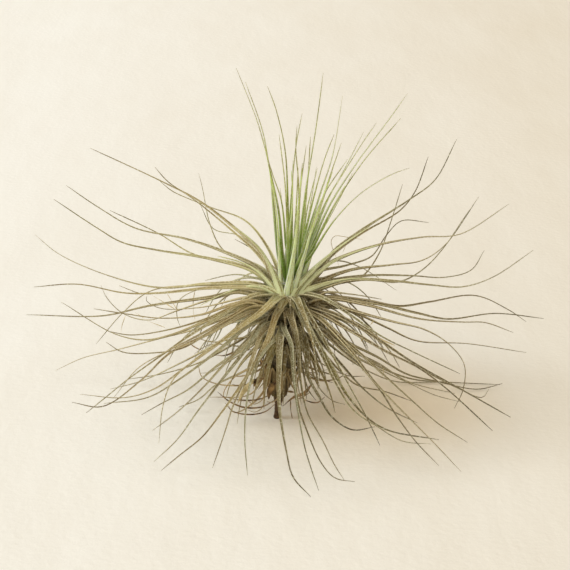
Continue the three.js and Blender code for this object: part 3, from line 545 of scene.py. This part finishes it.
def seen_at(places, depth):
    """Where the sight lines through places on the picture plane reach their depths behind the crown,
    or the surface, where that comes first."""
    up = places[:, 1] - SIGHT_UP
    plane = SIGHT + np.stack([places[:, 0], up * math.sin(EYE_TILT), up * math.cos(EYE_TILT)], axis=1)
    sight = plane - EYE
    points = EYE + sight * ((depth - EYE[1]) / sight[:, 1])[:, None]
    low = points[:, 2] < REST
    points[low] = EYE + sight[low] * ((REST - EYE[2]) / sight[low, 2])[:, None]
    return points


def root_at(ring, direction, share):
    """A root's place: on the ring, sunk a little into it, at a direction and a share of its height."""
    tall = ring["high"] - ring["low"]
    height = ring["low"] + ROOTS_OVER + share * (tall - (ROOTS_OVER + ROOTS_UNDER))
    lower, upper = ring["radius"]
    radius = lower + (upper - lower) * (height - ring["low"]) / tall - SUNK
    return stem_axis(height) + radius * np.array([math.cos(direction), math.sin(direction), 0])


def rim_at(ring, direction):
    """The place above a root where its leaf turns outward, over the ring's rim."""
    out = (ring["radius"][1] + RIM_OUT) * np.array([math.cos(direction), math.sin(direction), 0])
    return stem_axis(ring["high"] + RIM_UP) + out


def seen_leaf(ring, row, i):
    """A leaf's points from a row of places: its depth grows with the share of its seen length s as
    1 - (1 - s) to the power EARLY_DEPTH."""
    tip_depth, base, *places = row
    places = np.array(places, float).reshape(-1, 2)
    steps = np.diff(np.vstack([CROWN_SEEN, places]), axis=0)
    run = np.cumsum(np.linalg.norm(steps, axis=1))
    points = seen_at(places, tip_depth * (1 - (1 - run / run[-1]) ** EARLY_DEPTH))
    direction = math.atan2(points[0, 1], points[0, 0] - STEM_LEAN * points[0, 2])
    clasp = [root_at(ring, direction, spread(i, "root")), rim_at(ring, direction)]
    return np.vstack([clasp, points]), base, direction


def hidden_leaf(ring, group, i):
    """A leaf's points by rule: even paces, whose climb turns evenly from the launch angle to the fall
    angle while their heading turns with the curl, and which stop falling at the surface."""
    count, first, last, launch, fall, length, base, curl = group
    direction = math.radians(first + (last - first) * (i + 0.5) / count)
    full = length * (SHORTEST + (LONGEST - SHORTEST) * spread(i, "length"))
    t = (np.arange(LINE_PACES) + 0.5) / LINE_PACES
    climb = np.radians(launch + LIFT * (2 * spread(i, "lift") - 1)) * (1 - t) + np.radians(fall) * t
    heading = direction + np.radians(curl * (2 * spread(i, "curl") - 1)) * t
    level = np.cos(climb)
    paces = np.stack([np.cos(heading) * level, np.sin(heading) * level, np.sin(climb)], axis=1)
    points = np.vstack([rim_at(ring, direction), paces * full / LINE_PACES]).cumsum(axis=0)
    points[:, 2] = np.maximum(REST, points[:, 2])
    return np.vstack([root_at(ring, direction, spread(i, "root")), points]), base, direction


leaves = []
for number, ring in enumerate(RINGS):
    rows = [seen_leaf(ring, row, i) for i, row in enumerate(ring["seen"])]
    rows += [hidden_leaf(ring, group, i) for group in ring["hidden"] for i in range(group[0])]
    step = HEART_STEP if ring["low"] > STEM_TOP else STATION_STEP
    for points, base, direction in rows:
        steps = max(LEAST_STEPS, round(spaced(points, 1)[1] / step))
        leaves.append(dict(ring=number, points=points, base=base, direction=direction,
                           line=spaced(points, steps)[0]))


# ---- Leaves: bent clear of each other ----
# Where leaves of different rings would cross, each gives way by half, round after round. Roots stay,
# no leaf goes below the surface, and none comes into the rings or the stem.

KEEP_OFF = 7.0  # no leaf comes nearer the stem's axis than this below the heart
ROUNDS = 30
PUSH_MORE = 0.05  # added to each push, so that the rounds come to an end
STIFFNESS = 1.5  # a station moves by this many times its share of a push, and by the push at most
TINY = 1e-9  # stands in for a length of nothing where one is divided by


def nearest(p, q, r, s):
    """The shares of stretches p to q and r to s at which they come nearest each other: the shared
    normal's two feet, each held to its stretch in turn."""
    u, v, w = q - p, s - r, p - r
    uu, vv, uv, uw, vw = ((x * y).sum(axis=1) for x, y in ((u, u), (v, v), (u, v), (u, w), (v, w)))
    first = np.clip((uv * vw - vv * uw) / np.maximum(TINY, uu * vv - uv * uv), 0, 1)
    second = np.clip((uv * first + vw) / vv, 0, 1)
    return np.clip((uv * second - uw) / uu, 0, 1)[:, None], second[:, None]


def bent_clear(line, width, ring, start, root):
    """The stations of all leaves after they have given way. start: the stations that a stretch starts
    at. A push on a stretch moves the stations at its ends by their share of it, and a station gives
    by the sum of its pushes over the root of their count."""
    line = line.copy()
    for _ in range(ROUNDS):
        low = np.minimum(line[start], line[start + 1]) - (width[start, None] + GAP) / 2
        high = np.maximum(line[start], line[start + 1]) + (width[start, None] + GAP) / 2
        near = ring[start][:, None] > ring[start][None, :]
        for axis in range(3):
            near &= low[:, None, axis] <= high[None, :, axis]
            near &= low[None, :, axis] <= high[:, None, axis]
        a, b = (start[pick] for pick in np.nonzero(near))
        s, t = nearest(line[a], line[a + 1], line[b], line[b + 1])
        apart = line[a] + s * (line[a + 1] - line[a]) - line[b] - t * (line[b + 1] - line[b])
        distance = np.linalg.norm(apart, axis=1)
        short = (width[a] + width[b]) / 2 + GAP - distance
        push = apart * ((np.maximum(0, short) / 2 + PUSH_MORE * (short > 0)) / distance)[:, None]
        moved = np.zeros_like(line)
        count = np.zeros(len(line))
        for station, share, sign in ((a, 1 - s, 1), (a + 1, s, 1), (b, 1 - t, -1), (b + 1, t, -1)):
            np.add.at(moved, station, sign * np.minimum(1, share * STIFFNESS) * push)
            np.add.at(count, station, short > 0)
        moved /= np.sqrt(np.maximum(1, count))[:, None]
        line[~root] += moved[~root]
        out = line - stem_axis(line[:, 2])
        away = np.linalg.norm(out, axis=1)
        short = np.where(~root & (line[:, 2] < STEM_TOP), KEEP_OFF + width / 2 - away, 0)
        line += out * (np.maximum(0, short) / np.maximum(TINY, away))[:, None]
        line[:, 2] = np.where(root, line[:, 2], np.maximum(REST, line[:, 2]))
    return line


def leaf_width(base, t):
    """Width a share t of the way to the tip: it falls from the base's as the remaining share to the
    power TAPER."""
    return LEAF_TIP + (base - LEAF_TIP) * (1 - t) ** TAPER


sizes = [len(leaf["line"]) for leaf in leaves]
shares = [np.linspace(0, 1, size) for size in sizes]
all_stations = np.vstack([leaf["line"] for leaf in leaves])
is_root = np.concatenate([t == 0 for t in shares])
is_tip = np.concatenate([t == 1 for t in shares])
widths = [np.maximum(THINNEST, leaf_width(leaf["base"], t)) for leaf, t in zip(leaves, shares)]
ring_of = np.repeat([leaf["ring"] for leaf in leaves], sizes)
relaxed = bent_clear(all_stations, np.concatenate(widths), ring_of, np.nonzero(~is_tip)[0], is_root)
gives = np.split(relaxed - all_stations, np.cumsum(sizes)[:-1])


# ---- Leaves: bracts and clasping leaves ----
# Bracts are broad, short leaf bases, whose blades have broken off. They fill the collars between the
# long leaves. They and the clasping leaves lie too close in to need to give way.
#
# tone: from 0, the freshest, to 1, the most worn. wear and shade: how dull, how grey-green, and how
# much painted shade darkens the root. reach: the share of a whole leaf's colours that one shows.
# rolled: 0 where it stays open.

FACING_FRONT = -math.pi / 2
BRACT = dict(tone=0.9, wear=(1, 0, 1), reach=1.0, rolled=1)
CLASPING = dict(tone=0.0, wear=(0, 0, 0), reach=0.14, rolled=0)
for number, ring in enumerate(RINGS):
    short = [(*hidden_leaf(ring, group, i), BRACT) for group in ring["bracts"] for i in range(group[0])]
    for start, tip, base, *places in ring.get("clasping", []):
        places = np.array(places, float).reshape(-1, 2)
        points = seen_at(places, np.linspace(start, tip, len(places)))
        short.append((points, base, FACING_FRONT, CLASPING))
    for points, base, direction, kind in short:
        leaves.append(dict(ring=number, points=points, base=base, direction=direction, **kind))
        gives.append(np.zeros((2, 3)))


# ---- Leaves: the blades ----
# A blade is a thin channel: rounded and ridged beneath, hollow above, with thin raised lips. It is
# widest in the sheath that clasps the stem and ends in a fine point.

STATIONS = 56  # stretches along each blade
NARROW = 0.5  # width that a blade thins to before its point
POINT_LAST, POINT_FINER = 0.07, 0.6  # the share of its length that the point takes, and how it thins
LIP_UP, KEEL_DEEP, CHANNEL = 0.15, 0.47, 0.24  # of a blade's width
LIP_SHARP = 3  # the higher this is, the narrower the lips' colour
ANGLES = np.linspace(0, 2 * math.pi, 16, endpoint=False)
RIDGES = np.array([1, 1.00, 0.93, 1.05, 0.95, 1.05, 0.93, 1.00] + [1] * 8)  # of the keel, at each angle
SHEATH_WIDER, SHEATH_LONG = 0.3, 4.0  # how much wider the sheath is, and how long it takes to narrow
TWIST = math.radians(70)  # most that a blade has turned by its tip, as the square of the way there
ROLL, ROLLS_IN = 0.28, 12.0  # how much narrower and deeper blades roll at most, and how far along
SETTLE = 9  # stations that a bend is eased over
CLEAR = 0.12  # least height of any leaf above the surface
YOUNG, GROWN = 38.0, 78.0  # lengths of the heart's greenest and of its olive leaves
BY_LENGTH = 0.6  # how much of a heart leaf's tone comes from its length
# How much painted shade dulls the leaves that end this far to the right, away from the left lamp, and
# how much of that is taken off as painted light on those on the left.
PAINTED_SHADE_RIGHT, FAR_RIGHT, PAINTED_LIGHT_LEFT = 1.0, 60.0, 0.3
PATTERN_APART = 200.0  # along a leaf, how far its patterns may start from those of the next

dice = np.random.default_rng(7)


def blade_lines(chosen):
    """Each leaf's fine line: its own curve, moved by what its stations gave, eased by a raised cosine
    so that it stays smooth. Leaves by stations by 3."""
    ease = np.hanning(SETTLE + 2)[1:-1]
    ease /= ease.sum()
    lines, lengths = [], []
    for n in chosen:
        line, length = spaced(leaves[n]["points"], STATIONS)
        given = np.linspace(0, 1, len(gives[n]))
        give = np.stack([np.interp(np.linspace(0, 1, STATIONS + 1), given, axis) for axis in gives[n].T])
        padded = np.pad(give, ((0, 0), (SETTLE // 2, SETTLE // 2)), mode="edge")
        give = np.stack([np.convolve(axis, ease, mode="valid") for axis in padded], axis=1)
        lines.append(line + give * np.minimum(1, np.arange(STATIONS + 1) / SETTLE)[:, None])
        lengths.append(length)
    return np.array(lines), np.array(lengths)


def carried_sides(lines, directions):
    """A side vector at each station, square to the line. It starts level at the root and is carried
    along by taking off its part along the line at each step. Returns sides and faces."""
    ahead = np.gradient(lines, axis=1)
    ahead /= np.linalg.norm(ahead, axis=2, keepdims=True)
    side = np.stack([np.sin(directions), -np.cos(directions), 0 * directions], axis=1)
    sides = np.empty_like(lines)
    for k in range(lines.shape[1]):
        side = side - (side * ahead[:, k]).sum(axis=1, keepdims=True) * ahead[:, k]
        side /= np.linalg.norm(side, axis=1, keepdims=True)
        sides[:, k] = side
    return sides, np.cross(sides, ahead)


def swept(lines, directions, turn, half, down):
    """Points round each station of the lines: half to the side and down along the face, with side and
    face turned about the line, and none nearer the surface than CLEAR."""
    sides, faces = carried_sides(lines, directions)
    cos, sin = np.cos(turn)[..., None], np.sin(turn)[..., None]
    sides, faces = cos * sides + sin * faces, cos * faces - sin * sides
    points = lines[:, :, None] + half[..., None] * sides[:, :, None] + down[..., None] * faces[:, :, None]
    points[..., 2] = np.maximum(points[..., 2], CLEAR)
    return points.reshape(-1, 3)


def tubes(count, rings, around):
    """The faces of that many closed tubes, one after another."""
    return [face for n in range(count) for face in tube_faces(rings, around, start=n * rings * around)]


def blades(ring, chosen):
    """Points, faces and finish vectors of all blades of a ring. Round a station the point at angle a
    lies cos(a) half widths to the side. Beneath it lies below the lips by the keel's depth times
    sin(a), and above by the channel's. Width falls as the remaining share of the length to the power
    of the ring's taper, thins again over the point, and swells as exp(-distance / SHEATH_LONG) in the
    sheath."""
    lines, lengths = blade_lines(chosen)
    directions = np.array([leaves[n]["direction"] for n in chosen])
    base = np.array([leaves[n]["base"] for n in chosen])[:, None]
    t = np.tile(np.linspace(0, 1, STATIONS + 1), (len(chosen), 1))
    width = NARROW + (base - NARROW) * (1 - t) ** ring["taper"]
    width = width * (1 - POINT_FINER * np.clip((t - 1 + POINT_LAST) / POINT_LAST, 0, 1))
    distance = t * lengths[:, None]
    width = width * (1 + SHEATH_WIDER * np.exp(-distance / SHEATH_LONG))
    rolled = dice.uniform(0, ROLL, (len(chosen), 1)) * np.minimum(1, distance / ROLLS_IN)
    turn = dice.uniform(-TWIST, TWIST, (len(chosen), 1)) * t ** 2
    tone = dice.uniform(0, 1, (len(chosen), 1, 1))
    if ring["low"] > STEM_TOP:
        grown = np.clip((lengths[:, None, None] - YOUNG) / (GROWN - YOUNG), 0, 1)
        tone = (1 - BY_LENGTH) * tone + BY_LENGTH * grown
    wear = dice.uniform(0, 1, (len(chosen), 1, 2))
    # The third value of 1: the leaf's root takes its ring's painted shade.
    wear = np.concatenate([wear, np.ones((len(chosen), 1, 1))], axis=2)
    # Painted shade: leaves that end to the right are dulled more, and, as painted light, those on the
    # left less.
    wear[:, 0, 0] += PAINTED_SHADE_RIGHT * np.clip(lines[:, -1, 0] / FAR_RIGHT, -PAINTED_LIGHT_LEFT, 1)
    for m, n in enumerate(chosen):
        if "tone" in leaves[n]:
            tone[m], wear[m] = leaves[n]["tone"], leaves[n]["wear"]
            t[m] *= leaves[n]["reach"]
            rolled[m] *= leaves[n]["rolled"]
    beneath = ANGLES < math.pi
    across = np.cos(ANGLES)
    depth = np.where(beneath, KEEL_DEEP * RIDGES, -CHANNEL) * np.sin(ANGLES)
    half = (width * (1 - rolled) / 2)[..., None] * across
    down = (width * (1 + rolled))[..., None] * (LIP_UP - depth)
    points = swept(lines, directions, turn, half, down)
    even = 0 * half
    tone = tone + even
    shape = np.stack([half, distance[..., None] + PATTERN_APART * tone, tone], axis=-1)
    form = np.stack([t[..., None] + even, np.abs(across) ** LIP_SHARP + even, ~beneath + even], axis=-1)
    wear = wear[:, :, None] + 0 * shape
    faces = tubes(len(chosen), STATIONS + 1, len(ANGLES))
    return points, faces, dict(shape=shape, form=form, wear=wear)


# ---- Leaves: their finish ----
# A living leaf is satin under a silver bloom of tiny scales; an old one is dull and papery. Long,
# fine ribs run its whole length, their dark partly painted shade in its folds, and its hollow upper
# side is partly darkened by painted shade. Its thin lips catch the light, with a painted highlight
# in their pale colour, and its tip dries brown. Leaves to the right and the crowded roots carry
# painted shade.

GLOW_REACH = (0.8, 1.0, 0.3)  # how far red, green and blue light carry through a young leaf
GLOW_DEPTH = 1.6
COLOUR_PLACES = (0.0, 0.16, 0.6, 1.0)  # shares of a leaf's length at which its four colours lie
RIB, RIB_DEEP = 0.8, 0.12  # from one rib to the next, wider than the real 0.2 to be seen, and its depth
RIB_RUN = 14.0  # how far a rib's tone holds
SCALE_SPOT, SCALE_RUN = 0.5, 0.8  # width and length of a tuft of silver scales
BLOTCH = 9.0
LEAF_APART = 40.0  # how far apart in the patterns the freshest and the most worn leaf are
SCALE_SILVER = "#DEE0CC"
ROOT_SHADE_BROWN, ROOT_FADE = "#2C2010", (0.16, 0.04)  # colour and shares of the painted shade at the root, for the rings that give none
RIB_DARK = "#A08C5A"  # what the dark ribs' and the hollow side's colour is multiplied by, partly painted shade
TINGE = "#959C84"  # grey-green that some leaves are tinged with
DULL_AND_SHADE = "#988A5E"  # what the dullest leaves' colour is multiplied by, and that of leaves in painted shade to the right
# What lies over the leaf's colour: the value of its pattern where it starts to show, the value where
# it shows most, and how much that is, unless the ring says so.
BLOTCHED = (0.45, 0.75, 0.5)
TINGED = (0.55, 0.95)
DULLED_AND_SHADED = (0.35, 1.1)
RIBBED = (0.48, 0.64, 0.9)
HOLLOWED = (0.0, 1.0, 0.3)
SILVERED = (0.5, 0.66)
LIPPED = (0.45, 1.0, 0.6)


def leaf_finish(ring):
    """The finish of a ring's leaves. Their colours run from root to tip, between a fresh and a worn
    set. Over them lie worn blotches, a grey-green tinge, dulling with painted shade on the leaves to the
    right, dark ribs and the darker hollow side, both partly painted shade, silver scales, pale lips that
    are partly a painted highlight, and painted shade at the root, in this order."""
    material, tree = new_finish(ring["name"].replace("_", " ") + " with silver scurf")
    shape, form, wear = (add(tree, "Attribute", attribute_name=name).outputs["Vector"]
                         for name in ("shape", "form", "wear"))
    tone = add(tree, "SeparateXYZ", {0: shape}).outputs[2]
    along, edge, above = add(tree, "SeparateXYZ", {0: form}).outputs
    dulled, tinged, darkened = add(tree, "SeparateXYZ", {0: wear}).outputs

    def pattern(wide, long, detail):
        """Noise that follows the leaf, stretched to a width and a length, and of each leaf's own."""
        size = (1 / wide, 1 / long, LEAF_APART)
        scaled = add(tree, "VectorMath", {0: shape, 1: size}, operation="MULTIPLY")
        return add(tree, "TexNoise", {"Vector": scaled}, Scale=1.0, Detail=detail)

    def over(colour, upper, where, low, high, most):
        """A colour with another over it: none of that where the pattern is low, most of it where high."""
        share = add(tree, "MapRange", {0: where, 1: low, 2: high, 4: most})
        return add(tree, "Mix", {0: share, 6: colour, 7: upper}, data_type="RGBA")

    ribs = pattern(RIB, RIB_RUN, detail=2.0)
    spots = pattern(SCALE_SPOT, SCALE_RUN, detail=2.0)
    blotches = pattern(BLOTCH, BLOTCH, detail=3.0)
    fresh, worn = (add(tree, "ValToRGB", {"Fac": along}, COLOUR_PLACES, ring[age])
                   for age in ("fresh", "worn"))
    colour = add(tree, "Mix", {0: tone, 6: fresh, 7: worn}, data_type="RGBA")
    colour = over(colour, worn, blotches, *BLOTCHED)
    colour = over(colour, TINGE, tinged, *TINGED, ring["tinge"])
    # Dulling at random, with painted shade on the leaves to the right.
    dull = add(tree, "Mix", {0: 1.0, 6: colour, 7: DULL_AND_SHADE}, data_type="RGBA", blend_type="MULTIPLY")
    colour = over(colour, dull, dulled, *DULLED_AND_SHADED, ring["dull"])
    # Dark ribs and the darker hollow side: partly the leaf's own striations and colour, partly painted
    # shade in its folds and channel.
    dark = add(tree, "Mix", {0: 1.0, 6: colour, 7: RIB_DARK}, data_type="RGBA", blend_type="MULTIPLY")
    colour = over(colour, dark, ribs, *RIBBED)
    colour = over(colour, dark, above, *HOLLOWED)
    colour = over(colour, SCALE_SILVER, spots, *SILVERED, ring["scurf"])
    # Pale lips, partly a painted highlight.
    colour = over(colour, ring["lip"], edge, *LIPPED)
    # Painted shade at the roots, where the leaf bases crowd together.
    darkest = add(tree, "Math", {0: darkened, 1: ring["shade"]}, operation="MULTIPLY")
    root, fade = ring.get("root", ROOT_SHADE_BROWN), ring.get("dark", ROOT_FADE)
    colour = over(colour, root, along, *fade, darkest)
    relief = add(tree, "Bump", {"Height": ribs}, Strength=0.5, Distance=RIB_DEEP * MM)
    finished(tree, colour, relief, Roughness=0.62, Specular_IOR_Level=0.35,
             Subsurface_Weight=ring.get("glow", 0.0), Subsurface_Radius=GLOW_REACH,
             Subsurface_Scale=GLOW_DEPTH * MM)
    return material


for number, ring in enumerate(RINGS):
    chosen = [n for n, leaf in enumerate(leaves) if leaf["ring"] == number]
    points, faces, vectors = blades(ring, chosen)
    piece = mesh_object(ring["name"] + "_blades", points, faces, leaf_finish(ring))
    for name, values in vectors.items():
        kept = piece.data.attributes.new(name, "FLOAT_VECTOR", "POINT")
        kept.data.foreach_set("vector", values.ravel())
    added(piece, ring["name"])


# ---- Leaves: the sleeves of sheaths ----
# The sheaths of each ring overlap in a ribbed sleeve round the stem. Fresh ones are green and pale, and
# old ones dark brown, while the heart's is dark green, painted shade between its leaf bases. All are
# dull and fibrous, with streaks that run upward, and make a shadowed collar under their leaves.

SLEEVE_AROUND, SLEEVE_UP = 120, 26
SLEEVE_RIBS = 13  # sheaths side by side
SLEEVE_RELIEF = 0.55  # how far a sheath stands out from the next
SLEEVE_TURN = 0.06  # radians that a sheath leans for each millimetre of height
SLEEVE_END = 0.1  # radius that its ends turn in to, where they stay open
STREAK, STREAK_DEEP = 0.9, 0.2  # width and depth of a fibre's streak
STREAK_FLAT = 0.15  # a streak's width, as a part of its length
STREAK_PLACES = (0.35, 0.7)


def sleeve(ring):
    """Points of a ring's sleeve: the ring's own radius, less the relief times 1 - |sin| of half the rib
    angle. Its first and last rows turn in to SLEEVE_END, and stay open."""
    low, high = ring["low"], ring["high"]
    lower, upper = ring.get("sleeve", ring["radius"])
    share = np.linspace(0, 1, SLEEVE_UP)[:, None]
    angle = np.linspace(0, 2 * math.pi, SLEEVE_AROUND, endpoint=False)[None, :]
    height = low + share * (high - low) + 0 * angle
    ribs = np.abs(np.sin(SLEEVE_RIBS / 2 * (angle + SLEEVE_TURN * (height - low))))
    radius = lower + share * (upper - lower) - SLEEVE_RELIEF * (1 - ribs)
    inner = np.full((1, SLEEVE_AROUND), SLEEVE_END)
    radius = np.vstack([inner, radius, inner])
    height = np.vstack([height[:1], height, height[-1:]])
    out = np.stack([np.cos(angle) + 0 * height, np.sin(angle) + 0 * height, 0 * height], axis=-1)
    return (stem_axis(height) + radius[..., None] * out).reshape(-1, 3)


for ring in RINGS:
    faces = tube_faces(SLEEVE_UP + 2, SLEEVE_AROUND, closed=False)
    fibrous = grained(ring["name"].replace("_", " ") + " sheath", ring["sheath"], STREAK_PLACES, STREAK,
                      detail=4.0, deep=STREAK_DEEP, upward=STREAK_FLAT, Roughness=0.75,
                      Specular_IOR_Level=0.25)
    added(mesh_object(ring["name"] + "_sleeve", sleeve(ring), faces, fibrous), ring["name"])


# ---- Dry threads and flakes ----
# What is left of dead leaves: threads that split off old blades, and papery flakes that cling near the
# foot. Each belongs to the ring that it is listed under and is thin, flat and twisted. Dead leaf is
# dull and flecked, brown low down and bleached to straw higher up.
#
# A row holds how far behind the crown its start and end are, its width, and its places across and up,
# as the camera sees them.

WISPS = dict(
    crown_leaves=[
        (35, 35, 0.26, 22, 57.5, 20.5, 62, 19, 66, 18.5, 69, 20, 70.8, 25, 70.3, 31, 69.4),
        (35, 34, 0.22, 24.3, 67, 23, 64),
    ],
    shoulder_leaves=[
        (-20, -24, 0.3, -63.8, 39, -65.2, 35, -65.7, 31.5),
        (30, 28, 0.5, -36, 49, -36.7, 45, -36.6, 40, -36, 37.5),
        (10, 6, 0.5, -53, 47, -49, 44.6, -44, 41.5),
        (10, 4, 0.5, -47, 47.5, -43, 41),
        (-10, -12, 0.35, -60, 40.3, -56.5, 38),
        (-20, -22, 0.35, -55, 36.8, -48, 34.2),
        (-6, -10, 0.7, 33, 34, 38, 29.8, 44, 27),
        (-6, -8, 0.5, 35.5, 37, 34, 35),
        (-30, -32, 0.4, 39.2, 18, 39.4, 16, 38.4, 14),
    ],
    skirt_leaves=[
        (-10, -10, 0.5, 31, 31, 30.5, 28.5),
        (-9, -14, 2.2, -12.4, 13.6, -14.8, 10.8, -17.2, 7.6, -19, 3.6),
    ],
    under_leaves=[
        (18, 20, 0.8, -12, 25.5, -20, 24.4, -24, 23, -28, 23),
        (12, 14, 0.5, -33, 24.8, -37, 27, -39, 29.5),
    ],
    dry_leaves=[
        (-9, -8, 3, -8.5, 14, -12.2, 12, -9.5, 13.6),
        (-8, -9, 2.6, -3.5, 13, -6, 9, -6.5, 5.5),
        (-10, -10, 2.2, -9.5, 22, -9, 19.5, -6.5, 18),
        (-6, -8, 1.7, -0.8, 2.8, 4, 6.6, 7.6, 7.8, 10.6, 11.4),
        (-7, -7, 1, -1, 8.2, 1.2, 8.6, 3.6, 8.3),
        (-8, -10, 0.9, 2.2, 5, 2.3, 1.5, 2.9, -2.2),
        (-5, -12, 0.7, -3, 6, -9, 2.5, -16, 2.2, -22, 4.5, -27, 8.5),
        (-5, -10, 0.6, -3, 4.5, -8, 0.5, -15, -0.6, -21, 0.8, -24, 4),
        (-5, -8, 0.6, -3, 9, -10, 5.6, -18, 5.2, -26, 7),
        (4, 8, 0.6, 4, 8, 9, 4.8, 13, 4.2, 16, 6.5),
    ],
)
WISP_STEPS, WISP_AROUND = 24, 8
WISP_FLAT = 0.3  # thickness of a wisp, as a part of its width
WISP_TURN = 2.4  # radians that it twists from end to end
WISP_ENDS = (0.02, 0.98)  # shares of the half wave that it starts and ends at, so that it has some width
HUSK = ("#3E2C1A", "#967A50")  # the colours low down, and higher up
STRAW = ("#A3946A", "#D6C89C")
STRAW_RINGS = ("crown_leaves", "shoulder_leaves", "skirt_leaves")  # whose wisps have bleached
FLECK, FLECK_PLACES = 2.0, (0.35, 0.65)


def wisps(rows):
    """Points and faces of flat, tapering strips: width times the root of sin(pi t), which turns about
    its line evenly."""
    lines, directions = [], []
    for start, end, _, *places in rows:
        places = np.array(places, float).reshape(-1, 2)
        points = seen_at(places, np.linspace(start, end, len(places)))
        lines.append(spaced(points, WISP_STEPS)[0])
        directions.append(math.atan2(points[-1, 1] - points[0, 1], points[-1, 0] - points[0, 0]))
    t = np.linspace(*WISP_ENDS, WISP_STEPS + 1)[None, :]
    width = np.array([row[2] for row in rows])[:, None] * np.sqrt(np.sin(math.pi * t))
    angle = np.linspace(0, 2 * math.pi, WISP_AROUND, endpoint=False)
    half = (width / 2)[..., None] * np.cos(angle)
    down = -(width * WISP_FLAT / 2)[..., None] * np.sin(angle)
    points = swept(np.array(lines), np.array(directions), WISP_TURN * t, half, down)
    return points, tubes(len(rows), WISP_STEPS + 1, WISP_AROUND)


husk, straw = (grained(name, colours, FLECK_PLACES, FLECK, detail=4.0, Roughness=0.8,
                       Specular_IOR_Level=0.2)
               for name, colours in (("papery dead leaf", HUSK), ("straw thread", STRAW)))
for name in (ring["name"] for ring in RINGS if ring["name"] in WISPS):
    finish = straw if name in STRAW_RINGS else husk
    added(mesh_object(name + "_wisps", *wisps(WISPS[name]), finish), name)
